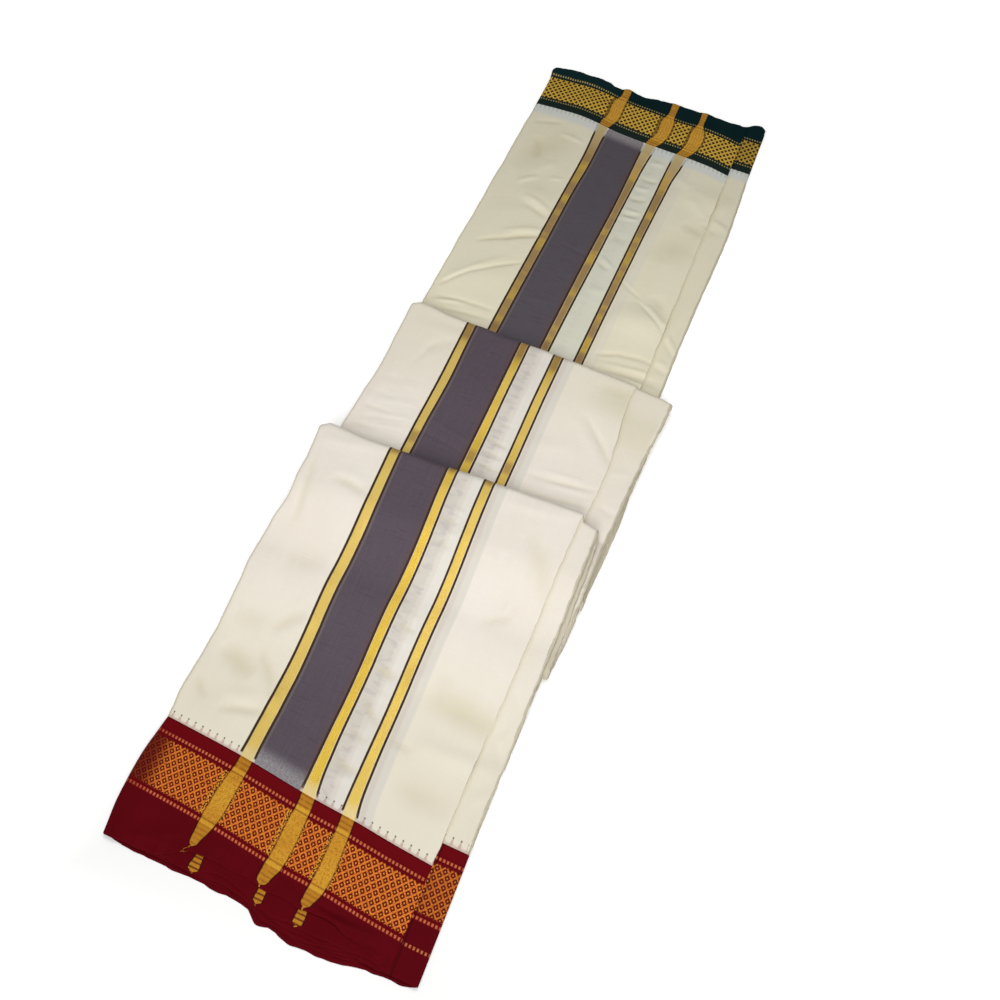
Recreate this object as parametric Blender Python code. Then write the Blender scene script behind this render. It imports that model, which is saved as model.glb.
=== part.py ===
"""A dhoti, folded for the shelf.

One long cotton cloth is folded over and over into a flat packet that is as long as the
cloth is wide, from its maroon border to its green border. The packet is then folded
crosswise like the letter Z, twice. A far stretch lies on the table, a middle stretch
lies on it, and a near stretch lies on both and comes down to the table.

The packet is one ribbon of pressed layers, carried along a Z-shaped path. The layer on
top of each stretch that shows is a thin wall of its own, which wraps the folded left
edge and the two crosswise folds. The borders are woven apart with their own shuttles.

Y runs along the packet towards the green border, X across it, and Z up.
"""
import bpy
import numpy as np

# Driving dimensions, in metres
PACKET = 0.0057          # all the layers of the packet, pressed flat
GAP = 0.0003             # air between two solids
WALL = 0.0015            # the layer on top
PITCH = PACKET + GAP     # one packet and the air above it
COVER = WALL + GAP       # height taken by the top layer where it lies on the packet
CORE = PACKET - COVER    # the packet under its top layer
INNER = GAP / 2          # radius inside a crosswise fold

# Places along the left edge, from the green border to the maroon one
FAR_SEAM = 0.3230        # where the green border is woven on
MIDDLE_FOLD = 0.0705     # the fold between the far and middle stretches
NEAR_FOLD = -0.0618      # the fold between the middle and near stretches
LOWER_TURN = -0.1205     # hidden fold at the end of the lower pleat
UPPER_TURN = -0.1730     # hidden fold at the end of the upper pleat
RAMP_TOP = -0.1060       # the pile starts to come down here
RAMP_FOOT = -0.1600
TOUCH_DOWN = -0.2350     # the near stretch is flat on the table from here on
NEAR_SEAM = -0.2800      # where the maroon border is woven on

TUCK = 0.0060            # how far the top layer turns in under a crosswise fold
HIDDEN = 0.0140          # how far a top layer runs on beneath the next stretch
STEP = 0.0020            # length of the step where a covered packet becomes a bare one

# Edges of the packet: run, place, left edge, right edge, slant of a cross line
EDGES = (
    ("far", 0.3230, -0.0908, 0.1060, -0.0145),
    ("far", 0.1900, -0.0926, 0.1070, -0.0140),
    ("far", 0.0700, -0.0938, 0.1034, -0.0140),
    ("far", -0.0450, -0.0950, 0.1066, -0.0060),
    ("far", -0.1060, -0.0970, 0.1030, 0.0000),
    ("return_lower", -0.1060, -0.0960, 0.1020, 0.0000),
    ("return_lower", 0.0700, -0.0950, 0.1130, -0.0140),
    ("middle", 0.0700, -0.0950, 0.1143, -0.0140),
    ("middle", 0.0120, -0.0956, 0.1096, -0.0080),
    ("middle", -0.0450, -0.0968, 0.1046, 0.0000),
    ("middle", -0.1060, -0.1010, 0.1006, 0.0000),
    ("middle", -0.1730, -0.1060, 0.1008, 0.0000),
    ("return_upper", -0.1730, -0.1060, 0.1008, 0.0000),
    ("return_upper", -0.0620, -0.1069, 0.0996, 0.0000),
    ("near", -0.0620, -0.1069, 0.0985, 0.0000),
    ("near", -0.1730, -0.1110, 0.0972, 0.0000),
    ("near", -0.2350, -0.1124, 0.0930, 0.0000),
    ("near", -0.2800, -0.1098, 0.0915, -0.0075),
)

# The top layer stops short of the packet: stretch, place, its free edge, extra slant
FREE_EDGES = (
    ("far", 0.3230, 0.0893, -0.0090),
    ("far", 0.2200, 0.0885, 0.0000),
    ("far", 0.0700, 0.0872, 0.0000),
    ("middle", 0.0700, 0.0850, 0.0000),
    ("middle", -0.0620, 0.0845, 0.0000),
    ("near", -0.0620, 0.0851, 0.0000),
    ("near", -0.1950, 0.0803, 0.0000),
    ("near", -0.2350, 0.0778, 0.0000),
    ("near", -0.2800, 0.0768, -0.0185),
)

# Selvage lines of the top layer: across the packet, along it, and how far it curls up
MAROON_TOP = (
    (-0.1116, -0.3545, 0.0000),
    (-0.0575, -0.3438, 0.0006),
    (-0.0070, -0.3489, 0.0000),
    (0.0130, -0.3488, 0.0004),
    (0.0350, -0.3544, 0.0012),
    (0.0768, -0.3590, 0.0000),
)
GREEN_TOP = (
    (-0.0926, 0.3685, 0.0015),
    (-0.0837, 0.3694, 0.0045),
    (-0.0584, 0.3694, 0.0040),
    (-0.0287, 0.3690, 0.0004),
    (0.0250, 0.3675, 0.0004),
    (0.0470, 0.3655, 0.0000),
    (0.0893, 0.3620, 0.0000),
)

# Selvage lines of the layers below, one for each layer edge, the lowest first
MAROON_ENDS = (
    ((-0.1098, -0.3550), (-0.0525, -0.3567), (-0.0145, -0.3592), (-0.0050, -0.3663),
     (0.0340, -0.3693), (0.0650, -0.3652), (0.0915, -0.3635)),
    ((-0.1098, -0.3544), (-0.0525, -0.3558), (-0.0145, -0.3582), (0.0120, -0.3645),
     (0.0530, -0.3660), (0.0915, -0.3620)),
    ((-0.1098, -0.3540), (-0.0525, -0.3540), (-0.0100, -0.3570), (0.0170, -0.3600),
     (0.0530, -0.3640), (0.0768, -0.3615), (0.0915, -0.3625)),
)
GREEN_ENDS = (
    ((-0.0908, 0.3680), (0.0000, 0.3670), (0.1060, 0.3625)),
    ((-0.0908, 0.3685), (-0.0200, 0.3665), (0.0800, 0.3625), (0.1000, 0.3655), (0.1060, 0.3620)),
    ((-0.0908, 0.3680), (0.0300, 0.3650), (0.0890, 0.3620), (0.0998, 0.3672), (0.1060, 0.3630)),
)

# Layer edges down each side: how far each stands back from the edge of the packet
SETBACKS = (0.0000, 0.0016, 0.0005)
BULGE = 0.0009           # depth of the rounding of one layer edge
ARC = np.radians((0, 60, 120))
FOLD_ANGLES = np.radians((15, 50, 90))
LIP = 0.0031             # how far the top layer's folded edge reaches down the side

LEVEL = 0.9              # upright part of a normal, above which cloth can lift in a ridge

# Soft ridges in the top layers: stretch, across, along, half length, half width, height
RIDGES = (
    ("near", 0.0300, -0.2330, 0.0700, 0.0050, 0.0010),
    ("near", 0.0600, -0.1900, 0.0250, 0.0090, 0.0012),
    ("near", -0.0700, -0.1500, 0.0400, 0.0120, 0.0008),
    ("middle", -0.0100, -0.0420, 0.0900, 0.0050, 0.0012),
    ("middle", -0.0800, 0.0260, 0.0200, 0.0070, 0.0010),
    ("far", -0.0620, 0.0960, 0.0280, 0.0060, 0.0014),
    ("far", 0.0780, 0.0950, 0.0180, 0.0070, 0.0014),
    ("far", -0.0300, 0.1500, 0.0450, 0.0100, 0.0008),
)
# How finely the cloth is divided
ACROSS = 12              # points across a top layer
TURN_STEPS = 8           # facets round half a turn
RAMP_STEPS = 10          # rungs down the upper ramp
BORDER_STEPS = 7         # sections from a border's seam to its selvage
LAYER_STEPS = 25         # sections across the border's lower layers

# Selvages
RIPPLE = 0.0006          # a selvage's small ripple, to each side
RIPPLE_LENGTH = 0.0052   # length along the selvage for one radian of it
NOSE = 0.0020            # length of the rounding at a layer's end


class Rungs:
    """Short lines across the ribbon's thickness, from its inner face to its show face.

    Each rung holds (y, z) on both faces, the run it belongs to, whether a top layer
    covers it, and whether only the top layer needs it.
    """

    def __init__(self):
        self.rows = []

    def add(self, run, inner, show, covered=False, fine=False):
        self.rows.append((run, inner, show, covered, fine))

    def level(self, run, places, inner, show, covered=False):
        """Upright rungs at these places; every third one shapes the ribbon too."""
        for i, y in enumerate(places):
            fine = i % 3 > 0 and i < len(places) - 1
            self.add(run, (y, inner), (y, show), covered, fine)

    def turn(self, run, centre, facing, inner_radius, show_radius, covered=False):
        """Rungs that fan out round a crosswise fold, from its lower side to its upper."""
        for angle in np.linspace(-np.pi / 2, np.pi / 2, TURN_STEPS + 1)[1:-1]:
            out = np.array((facing * np.cos(angle), np.sin(angle)))
            self.add(run, centre + out * inner_radius, centre + out * show_radius, covered)


def smooth(y, start, end):
    """0 at start and 1 at end, with a soft S between."""
    t = np.clip((y - start) / (end - start), 0.0, 1.0)
    return t * t * (3 - 2 * t)


def pile(y):
    """Top of the first packet on the ramp, where the pile of five comes down to three."""
    return PACKET + 2 * PITCH * (1 - smooth(y, RAMP_TOP, RAMP_FOOT))


def drape(edge, foot, steps):
    """Inner face of a stretch that passes over a hidden fold and drops to the table.

    It follows a quarter turn round the fold, then lies on the table out to foot.
    """
    centre = edge + PACKET + INNER
    radius = PACKET + INNER + GAP
    height = PITCH - INNER
    over = [(centre - radius * np.sin(a), height + radius * np.cos(a))
            for a in np.linspace(0, np.pi / 2, 5)]
    return over + [(y, 0.0) for y in np.linspace(centre - radius, foot, steps + 1)]


def packet_path():
    """The whole Z-shaped path, from the green seam to the maroon seam."""
    rungs = Rungs()
    outer = PACKET + INNER           # radius of a bare fold
    shown = CORE + INNER             # radius of a fold under its top layer
    low = PITCH - INNER              # height of the centres of the folds
    mid, high = low + PITCH, low + 3 * PITCH
    lower_y, upper_y = LOWER_TURN + outer, UPPER_TURN + outer
    middle_y = MIDDLE_FOLD - shown - COVER
    near_y = NEAR_FOLD - shown - COVER
    ramp = np.linspace(RAMP_TOP, RAMP_FOOT, RAMP_STEPS)

    far_end = MIDDLE_FOLD - HIDDEN
    rungs.level("far", np.linspace(FAR_SEAM, far_end, 27), 0.0, CORE, covered=True)
    rungs.level("far", (far_end - STEP, lower_y), 0.0, PACKET)
    rungs.turn("far", (lower_y, low), -1, outer, INNER)

    tuck = middle_y - TUCK
    rungs.level("return_lower", (lower_y, tuck - STEP), PITCH + PACKET, PITCH)
    rungs.level("return_lower", (tuck, middle_y), mid - INNER, mid - shown, covered=True)
    rungs.turn("middle", (middle_y, mid), 1, INNER, shown, covered=True)

    middle_end = NEAR_FOLD - HIDDEN
    rungs.level("middle", np.linspace(middle_y, middle_end, 24), 2 * PITCH,
                2 * PITCH + CORE, covered=True)
    rungs.add("middle", (middle_end - STEP, 2 * PITCH), (middle_end - STEP, 2 * PITCH + PACKET))
    inner = [(RAMP_TOP, 2 * PITCH)] + drape(LOWER_TURN, RAMP_FOOT, 3)
    for below, y in zip(inner, ramp):
        rungs.add("middle", below, (y, pile(y)))
    rungs.level("middle", (upper_y,), 0.0, PACKET)
    rungs.turn("middle", (upper_y, low), -1, outer, INNER)

    rungs.level("return_upper", (upper_y,), PITCH + PACKET, PITCH)
    for y in ramp[::-1]:
        rungs.add("return_upper", (y, pile(y) + PITCH), (y, pile(y) + GAP))
    tuck = near_y - TUCK
    rungs.level("return_upper", (tuck - STEP,), 4 * PITCH - GAP, 3 * PITCH)
    rungs.level("return_upper", (tuck, near_y), high - INNER, high - shown, covered=True)
    rungs.turn("near", (near_y, high), 1, INNER, shown, covered=True)

    rungs.level("near", np.linspace(near_y, RAMP_TOP, 7)[:-1], 4 * PITCH,
                4 * PITCH + CORE, covered=True)
    for y in ramp[:-1]:
        base = pile(y) + PITCH + GAP
        rungs.add("near", (y, base), (y, base + CORE), covered=True)
    inner = [(RAMP_FOOT, 2 * PITCH)] + drape(UPPER_TURN, TOUCH_DOWN, 4)
    for below, y in zip(inner, np.linspace(RAMP_FOOT, TOUCH_DOWN, len(inner))):
        fall = smooth(y, RAMP_FOOT, TOUCH_DOWN)
        rungs.add("near", below, (y, CORE + 2 * PITCH * (1 - fall)), covered=True)
    rungs.level("near", np.linspace(TOUCH_DOWN, NEAR_SEAM, 7)[1:], 0.0, CORE, covered=True)
    return rungs.rows


def read_table(table, run, y, column):
    """Value of one column of a table at a place y along a run."""
    rows = sorted(row[1:] for row in table if row[0] == run)
    return np.interp(y, [row[0] for row in rows], [row[column] for row in rows])


def edges_at(run, y):
    return [read_table(EDGES, run, y, column) for column in (1, 2, 3)]


def make_object(name, verts, faces, material):
    mesh = bpy.data.meshes.new(name)
    mesh.from_pydata([tuple(v) for v in verts], [], faces)
    mesh.validate()
    mesh.shade_smooth()
    mesh.set_sharp_from_angle(angle=np.radians(40))
    mesh.materials.append(material)
    obj = bpy.data.objects.new(name, mesh)
    bpy.context.scene.collection.objects.link(obj)
    return obj


def sweep(name, rings, material):
    """One closed body through rings of equal count, with a flat cap at each end."""
    rings = np.asarray(rings)
    count, size = rings.shape[:2]
    faces = []
    for k in range(count - 1):
        for i in range(size):
            j = (i + 1) % size
            faces.append((k * size + i, k * size + j, (k + 1) * size + j, (k + 1) * size + i))
    faces.append(tuple(range(size))[::-1])
    faces.append(tuple((count - 1) * size + i for i in range(size)))
    return make_object(name, rings.reshape(-1, 3), faces, material)


def layered_side():
    """One side of the packet from the inner face up: (depth behind the edge, share of height)."""
    layers = len(SETBACKS)
    points = []
    for i, setback in enumerate(SETBACKS):
        points += [(setback + BULGE * (1 - np.sin(a)), (i + (1 - np.cos(a)) / 2) / layers)
                   for a in ARC]
    return points + [(SETBACKS[-1] + BULGE, 1.0)]


def folded_layers(rows, material):
    """The hidden layers: one ribbon along the whole path, layered at both sides."""
    side = layered_side()
    rings = []
    for run, inner, show, _, fine in rows:
        if fine:
            continue
        left, right, slant = edges_at(run, show[0])
        outline = [(right - depth, share) for depth, share in side]
        outline += [(left + depth, share) for depth, share in side[::-1]]
        ring = []
        for x, share in outline:
            y = inner[0] + (show[0] - inner[0]) * share + slant * (x - left) / (right - left)
            ring.append((x, y, inner[1] + (show[1] - inner[1]) * share))
        rings.append(ring)
    return sweep("folded_layers", rings, material)


def top_profile(left, free):
    """Section of a top layer: across x, and out from the packet's show face.

    It runs over the top from the free edge, wraps the folded left edge down to the lip
    and comes back along the packet.
    """
    flat = np.linspace(free, left + WALL, ACROSS)
    outer = [(x, COVER) for x in flat]
    outer += [(left - COVER * np.sin(a), COVER * np.cos(a)) for a in FOLD_ANGLES]
    outer += [(left - COVER, -LIP)]
    under = [(left - GAP, -LIP), (left - GAP, 0.0), (left, GAP)]
    under += [(x, GAP) for x in flat[::-1]]
    return outer + under


def ridge_height(stretch, x, y):
    """How far the top layer lifts in a soft ridge at (x, y)."""
    lift = 0.0
    for row in RIDGES:
        if row[0] == stretch:
            _, cx, cy, length, width, height = row
            along = np.exp(-((x - cx) / length) ** 2)
            lift += height * along * np.exp(-((y - cy) / width) ** 2)
    return lift


def cross_line(stretch, run, y):
    """Left edge, free edge and slant of the line across a top layer at a place y."""
    left, right, slant = edges_at(run, y)
    free = read_table(FREE_EDGES, stretch, y, 1)
    extra = read_table(FREE_EDGES, stretch, y, 2)
    return left, free, (slant + extra) / (right - left)


def top_stretch(stretch, rows, material):
    """The top layer of one stretch, with its fold's tuck, made from the ribbon's show face."""
    runs = {"near": ("return_upper", "near"), "middle": ("return_lower", "middle"), "far": ("far",)}
    kept = [row for row in rows if row[0] in runs[stretch] and row[3]]
    show = np.array([row[2] for row in kept])
    tangent = np.gradient(show, axis=0)
    tangent /= np.linalg.norm(tangent, axis=1)[:, None]
    normal = np.stack([tangent[:, 1], -tangent[:, 0]], axis=1)
    rings = []
    for row, (py, pz), (ny, nz) in zip(kept, show, normal):
        left, free, slope = cross_line(stretch, row[0], py)
        ring = []
        for x, out in top_profile(left, free):
            if nz > LEVEL:
                out += ridge_height(stretch, x, py) * smooth(x, left + WALL, left + 0.0100)
            ring.append((x, py + slope * (x - left) + ny * out, pz + nz * out))
        rings.append(ring)
    return sweep(stretch + "_stretch", rings, material)


def line_through(points, x):
    """A selvage line read at x, with a fine ripple from the packing of the weave."""
    xs, ys = zip(*[point[:2] for point in points])
    return np.interp(x, xs, ys) + RIPPLE * np.sin(x / RIPPLE_LENGTH)


def curl_at(points, x):
    """How far the top layer's selvage curls up at x."""
    return np.interp(x, [point[0] for point in points], [point[2] for point in points])


def border_top(name, stretch, seam, selvage, material):
    """The top layer of a border, from its seam line out to its selvage."""
    sign = 1 if seam > 0 else -1
    left, free, slope = cross_line(stretch, stretch, seam)
    rings = []
    for share in np.linspace(0, 1, BORDER_STEPS)[::-sign]:
        ring = []
        for x, out in top_profile(left, free):
            start = seam + sign * GAP + slope * (x - left)
            y = start + (line_through(selvage, x) - start) * share
            ring.append((x, y, CORE + out + curl_at(selvage, x) * smooth(share, 0.3, 1.0)))
        rings.append(ring)
    return sweep(name, rings, material)


def border_layers(name, stretch, seam, ends, material):
    """The lower layers of a border, which end one behind the other at the selvage."""
    sign = 1 if seam > 0 else -1
    left, right, slant = edges_at(stretch, seam)
    height = CORE / len(ends)
    rings = []
    for x in np.linspace(left, right, LAYER_STEPS):
        start = seam + sign * GAP + slant * (x - left) / (right - left)
        tips = [line_through(line, x) for line in ends]
        ring = [(start, 0.0), (start, CORE), (tips[-1] - sign * NOSE, CORE)]
        for i in range(len(ends) - 1, -1, -1):
            ring += [(tips[i], (i + 0.75) * height), (tips[i], (i + 0.25) * height)]
            behind = tips[i] if i == 0 else sign * min(sign * tips[i], sign * tips[i - 1])
            ring.append((behind - sign * NOSE, i * height))
        rings.append([(x, y, z) for y, z in ring[::-sign]])
    return sweep(name, rings, material)


def make_material(name, colour, roughness):
    material = bpy.data.materials.new(name)
    material.use_nodes = True
    shader = material.node_tree.nodes["Principled BSDF"]
    shader.inputs["Base Color"].default_value = (*colour, 1.0)
    shader.inputs["Roughness"].default_value = roughness
    shader.inputs["Metallic"].default_value = 0.0
    return material


def build():
    for obj in list(bpy.data.objects):
        bpy.data.objects.remove(obj, do_unlink=True)
    cream = make_material("cream_cotton", (0.78, 0.74, 0.62), 0.75)
    cream_edges = make_material("cream_cotton_edges", (0.70, 0.66, 0.54), 0.80)
    maroon = make_material("maroon_border", (0.11, 0.006, 0.012), 0.60)
    maroon_edges = make_material("maroon_border_edges", (0.08, 0.004, 0.009), 0.65)
    green = make_material("green_border", (0.006, 0.022, 0.018), 0.55)
    green_edges = make_material("green_border_edges", (0.004, 0.016, 0.013), 0.60)

    rows = packet_path()
    folded_layers(rows, cream_edges)
    for stretch in ("far", "middle", "near"):
        top_stretch(stretch, rows, cream)
    border_top("maroon_border", "near", NEAR_SEAM, MAROON_TOP, maroon)
    border_layers("maroon_border_layers", "near", NEAR_SEAM, MAROON_ENDS, maroon_edges)
    border_top("green_border", "far", FAR_SEAM, GREEN_TOP, green)
    border_layers("green_border_layers", "far", FAR_SEAM, GREEN_ENDS, green_edges)


build()
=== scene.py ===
# %% [markdown]
# # A dhoti folded for the shelf
#
# A dhoti is one long cotton cloth with a patterned border woven on each side: maroon on
# one, green on the other. It is folded over and over into a flat packet as long as the
# cloth is wide, and the packet is folded crosswise like the letter Z. The frame gives
# the packet's solids. This lesson dresses them: thin top cloths, a pile of folded layers
# below, and woven materials. Everything is in metres, with Y along the packet.

# %% Load the frame
import math
from types import SimpleNamespace

import bpy
import numpy as np
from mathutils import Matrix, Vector


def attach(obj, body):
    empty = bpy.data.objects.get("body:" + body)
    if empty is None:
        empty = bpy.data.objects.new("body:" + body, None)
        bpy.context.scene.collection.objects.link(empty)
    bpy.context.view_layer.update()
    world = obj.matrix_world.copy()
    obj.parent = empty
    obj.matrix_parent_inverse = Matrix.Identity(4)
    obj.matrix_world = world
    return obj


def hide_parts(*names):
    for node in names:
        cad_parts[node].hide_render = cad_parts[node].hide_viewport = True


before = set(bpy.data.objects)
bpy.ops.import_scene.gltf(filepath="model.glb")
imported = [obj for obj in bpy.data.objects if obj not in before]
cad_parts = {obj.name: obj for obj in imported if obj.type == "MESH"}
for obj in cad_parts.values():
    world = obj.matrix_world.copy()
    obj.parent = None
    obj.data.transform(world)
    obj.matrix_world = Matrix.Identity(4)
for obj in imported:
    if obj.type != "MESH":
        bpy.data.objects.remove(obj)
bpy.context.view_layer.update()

# %% [markdown]
# ## The view
#
# The camera stands over the maroon end and looks down along the packet, which is how a
# shop lays a folded cloth out. Its height and tilt come first, because every later
# choice of fineness depends on how near it stands. The plain view transform keeps the
# dyes' colours as they are given.

# %% Camera
heading, tilt = math.radians(21.5), math.atan(1.82)
look = Vector((-math.sin(heading) * math.cos(tilt), math.cos(heading) * math.cos(tilt),
               -math.sin(tilt)))
camera = bpy.data.objects.new("camera", bpy.data.cameras.new("camera"))
camera.data.sensor_width = camera.data.lens = 36.0
camera.location = (0.1475, -0.3745, 0.6150)
camera.rotation_euler = look.to_track_quat("-Z", "Y").to_euler()
bpy.context.scene.collection.objects.link(camera)
bpy.context.scene.camera = camera
bpy.context.scene.view_settings.view_transform = "Standard"
print("camera looks along", tuple(round(v, 3) for v in look))

# %% [markdown]
# ## Dyes
#
# Cloth colours are easiest to name as a printer does, from 0 to 255. The renderer adds
# light, so it wants them on a linear scale, and one small function turns the one into
# the other.

# %% A dye
def dye(red, green, blue):
    """Linear colour of a printed one: c/12.92 in the deep darks, else ((c+0.055)/1.055)^2.4."""
    c = np.array((red, green, blue)) / 255.0
    linear = np.where(c <= 0.04045, c / 12.92, ((c + 0.055) / 1.055) ** 2.4)
    return (*linear.tolist(), 1.0)


print("cream as the renderer sees it:", [round(c, 3) for c in dye(232, 226, 212)])

# %% [markdown]
# ## Wiring a material
#
# Blender makes a material from nodes, and each node does one small sum. A glow, a stripe
# and a weave are all such sums. This helper adds nodes and wires them, so that a material
# reads like a dyer's note: coat over coat, each with a mask that says where it takes.

# %% A helper for materials
class Wiring:
    """A node material and short ways to wire it. A value is a number, a colour or a node's output."""

    def __init__(self, name):
        self.material = bpy.data.materials.new(name)
        self.material.use_nodes = True
        self.tree = self.material.node_tree
        self.shader = self.tree.nodes["Principled BSDF"]

    def put(self, socket, value):
        """Set a node's input, or link it when the value comes from another node."""
        if isinstance(value, bpy.types.NodeSocket):
            self.tree.links.new(value, socket)
        else:
            socket.default_value = value

    def add(self, kind, *values, **named):
        """A new node: values go to its inputs in their order, named ones to its settings."""
        node = self.tree.nodes.new(kind)
        for key, value in named.items():
            setattr(node, key, value)
        for socket, value in zip(node.inputs, values):
            self.put(socket, value)
        return node

    def math(self, operation, *values):
        return self.add("ShaderNodeMath", *values, operation=operation).outputs[0]

    def times(self, a, b):
        return self.math("MULTIPLY", a, b)

    def scale(self, value, factor, plus=0.0):
        """value * factor + plus."""
        return self.math("MULTIPLY_ADD", value, factor, plus)

    def step(self, value, low, high, start=0.0, end=1.0):
        """start below low, end above high, soft between; with low above high it runs the other way."""
        if low > high:
            low, high, start, end = high, low, end, start
        return self.add("ShaderNodeMapRange", value, low, high, start, end,
                        interpolation_type="SMOOTHSTEP").outputs[0]

    def band(self, value, low, high, soft=0.0003):
        """1 between low and high, with soft sides."""
        rise, fall = self.step(value, low - soft, low + soft), self.step(value, high + soft, high - soft)
        return self.times(rise, fall)

    def any_of(self, *masks):
        """The strongest of some masks."""
        found = masks[0]
        for mask in masks[1:]:
            found = self.math("MAXIMUM", found, mask)
        return found

    def mix(self, share, a, b):
        """a + share * (b - a), for colours."""
        node = self.add("ShaderNodeMix", data_type="RGBA")
        for socket, value in ((0, share), (6, a), (7, b)):
            self.put(node.inputs[socket], value)
        return node.outputs[2]

    def coats(self, colour, *coats):
        """Dye over dye: each coat is (mask, share, dye) and covers share * mask of what lies below."""
        for mask, share, tint in coats:
            colour = self.mix(self.scale(mask, share), colour, tint)
        return colour


print("wiring ready:", [name for name in vars(Wiring) if not name.startswith("_")])

# %% [markdown]
# ## Floor and light
#
# Pressed cotton shows its creases when light comes from one side. A small lamp hangs low
# over the near half, so the cloth grows darker towards the green end. A wide lamp behind
# the camera, halfway up, rakes along the packet: folds and creases that face it are bright
# and those that face away are dark. The sky's even light fills the rest. The floor glows
# like a light table, more towards the far end where less light falls, and less close to
# the packet, so that only a soft shadow lies round the cloth.

# %% Lamps and sky
def soft_light(name, place, target, size, power):
    """A square lamp at place that faces target."""
    lamp = bpy.data.objects.new(name, bpy.data.lights.new(name, "AREA"))
    lamp.data.shape, lamp.data.size, lamp.data.energy = "SQUARE", size, power
    lamp.location = place
    lamp.rotation_euler = (Vector(target) - Vector(place)).to_track_quat("-Z", "Y").to_euler()
    lamp.visible_camera = False
    bpy.context.scene.collection.objects.link(lamp)


soft_light("overhead", (0.05, -0.10, 0.60), (0.0, -0.07, 0.0), 0.30, 1.78)
soft_light("raking", (0.45, -1.90, 1.75), (0.0, 0.0, 0.0), 1.50, 43.0)
sky = bpy.data.worlds.new("sky")
sky.use_nodes = True
sky.node_tree.nodes["Background"].inputs["Color"].default_value = (1.0, 0.985, 0.955, 1.0)
sky.node_tree.nodes["Background"].inputs["Strength"].default_value = 0.22
bpy.context.scene.world = sky

# %% Floor
SHADOW_X, SHADOW_Y = 0.105, 0.362   # the soft shadow starts at this half width and half length
paint = Wiring("pale_floor")
place = paint.add("ShaderNodeTexCoord").outputs["Object"]
split = paint.add("ShaderNodeSeparateXYZ", place).outputs
beside = paint.math("SUBTRACT", paint.math("ABSOLUTE", split["X"]), SHADOW_X)
beyond = paint.math("SUBTRACT", paint.math("ABSOLUTE", split["Y"]), SHADOW_Y)
rim = paint.step(paint.math("MAXIMUM", beside, beyond), 0.0, 0.070, 0.0, 0.30)
glow = paint.add("ShaderNodeMapRange", split["Y"], -0.45, 0.45, 0.05, 0.44).outputs[0]
paint.put(paint.shader.inputs["Emission Strength"], paint.math("ADD", rim, glow))
paint.shader.inputs["Emission Color"].default_value = (1.0, 1.0, 1.0, 1.0)
paint.shader.inputs["Base Color"].default_value = dye(240, 240, 240)
paint.shader.inputs["Roughness"].default_value = 0.9

board = bpy.data.meshes.new("floor")
board.from_pydata([(-4, -4, 0), (4, -4, 0), (4, 4, 0), (-4, 4, 0)], [], [(0, 1, 2, 3)])
board.materials.append(paint.material)
floor = bpy.data.objects.new("floor", board)
bpy.context.scene.collection.objects.link(floor)
print("floor:", tuple(round(v, 2) for v in floor.dimensions), "m")

# %% [markdown]
# ## The packet's measures
#
# These are the same heights and places that the solids were made from. A packet of
# layers is under 6 mm thick. Five packets lie on each other where both crosswise pleats
# overlap, and the pile steps down towards the maroon end.

# %% Measures
PACKET, GAP, PITCH = 0.0057, 0.0003, 0.0060   # one packet, the air on it, and both
COVER = 0.0018                                # height the top cloth takes on its packet
CORE = PACKET - COVER
INNER = GAP / 2                               # radius inside a crosswise fold
SHOWN = CORE + INNER                          # radius of a fold under its top cloth
FAR_SEAM, NEAR_SEAM = 0.3234, -0.2812         # where the borders are woven on
MIDDLE_FOLD, NEAR_FOLD = 0.0705, -0.0618      # the two folds that show
LOWER_TURN, UPPER_TURN = -0.1205, -0.1730     # the two hidden ones
RAMP_TOP, RAMP_FOOT, TOUCH_DOWN = -0.1060, -0.1600, -0.2350
TUCK, HIDDEN, STEP = 0.0060, 0.0140, 0.0020   # how cloth runs on under a fold
LOW, MID, HIGH = PITCH - INNER, 2 * PITCH - INNER, 4 * PITCH - INNER   # fold centres
MIDDLE_Y = MIDDLE_FOLD - SHOWN - COVER
NEAR_Y = NEAR_FOLD - SHOWN - COVER
WIDTH = 1.1900                                # cream cloth from seam to seam
print("fold centres at", [round(z * 1000, 2) for z in (LOW, MID, HIGH)], "mm")

# %% [markdown]
# ## Lines read from tables
#
# A folded cloth has no straight line on it. Each edge, seam and stripe is a short table
# of places that a maker would mark with pins, in millimetres, and a soft curve through
# the pins.

# %% Curves through pins
def smooth(value, start, end):
    """0 at start and 1 at end, with a soft S between: t*t*(3-2t)."""
    t = np.clip((value - start) / (end - start), 0.0, 1.0)
    return t * t * (3 - 2 * t)


def through(pins, x, column=1):
    """A curve in metres through pins in mm: a cubic between two, with the slope of their neighbours' chord."""
    pins = np.asarray(pins, float) / 1000.0
    px, py = pins[:, 0], pins[:, column]
    slope = np.gradient(py, px)
    x = np.clip(x, px[0], px[-1])
    i = np.clip(np.searchsorted(px, x) - 1, 0, len(px) - 2)
    h = px[i + 1] - px[i]
    t = (x - px[i]) / h
    return ((2 * t**3 - 3 * t**2 + 1) * py[i] + (t**3 - 2 * t**2 + t) * h * slope[i]
            + (3 * t**2 - 2 * t**3) * py[i + 1] + (t**3 - t**2) * h * slope[i + 1])


def waver(x, seed, length):
    """An uneven wave from -1 to 1: three sines whose lengths don't divide each other."""
    x = np.asarray(x) / length * 2 * np.pi
    return (np.sin(x + seed) + 0.6 * np.sin(1.73 * x + 2.1 * seed)
            + 0.4 * np.sin(2.91 * x + 3.7 * seed)) / 2


print("a soft step at its middle:", smooth(0.5, 0.0, 1.0))

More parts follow.
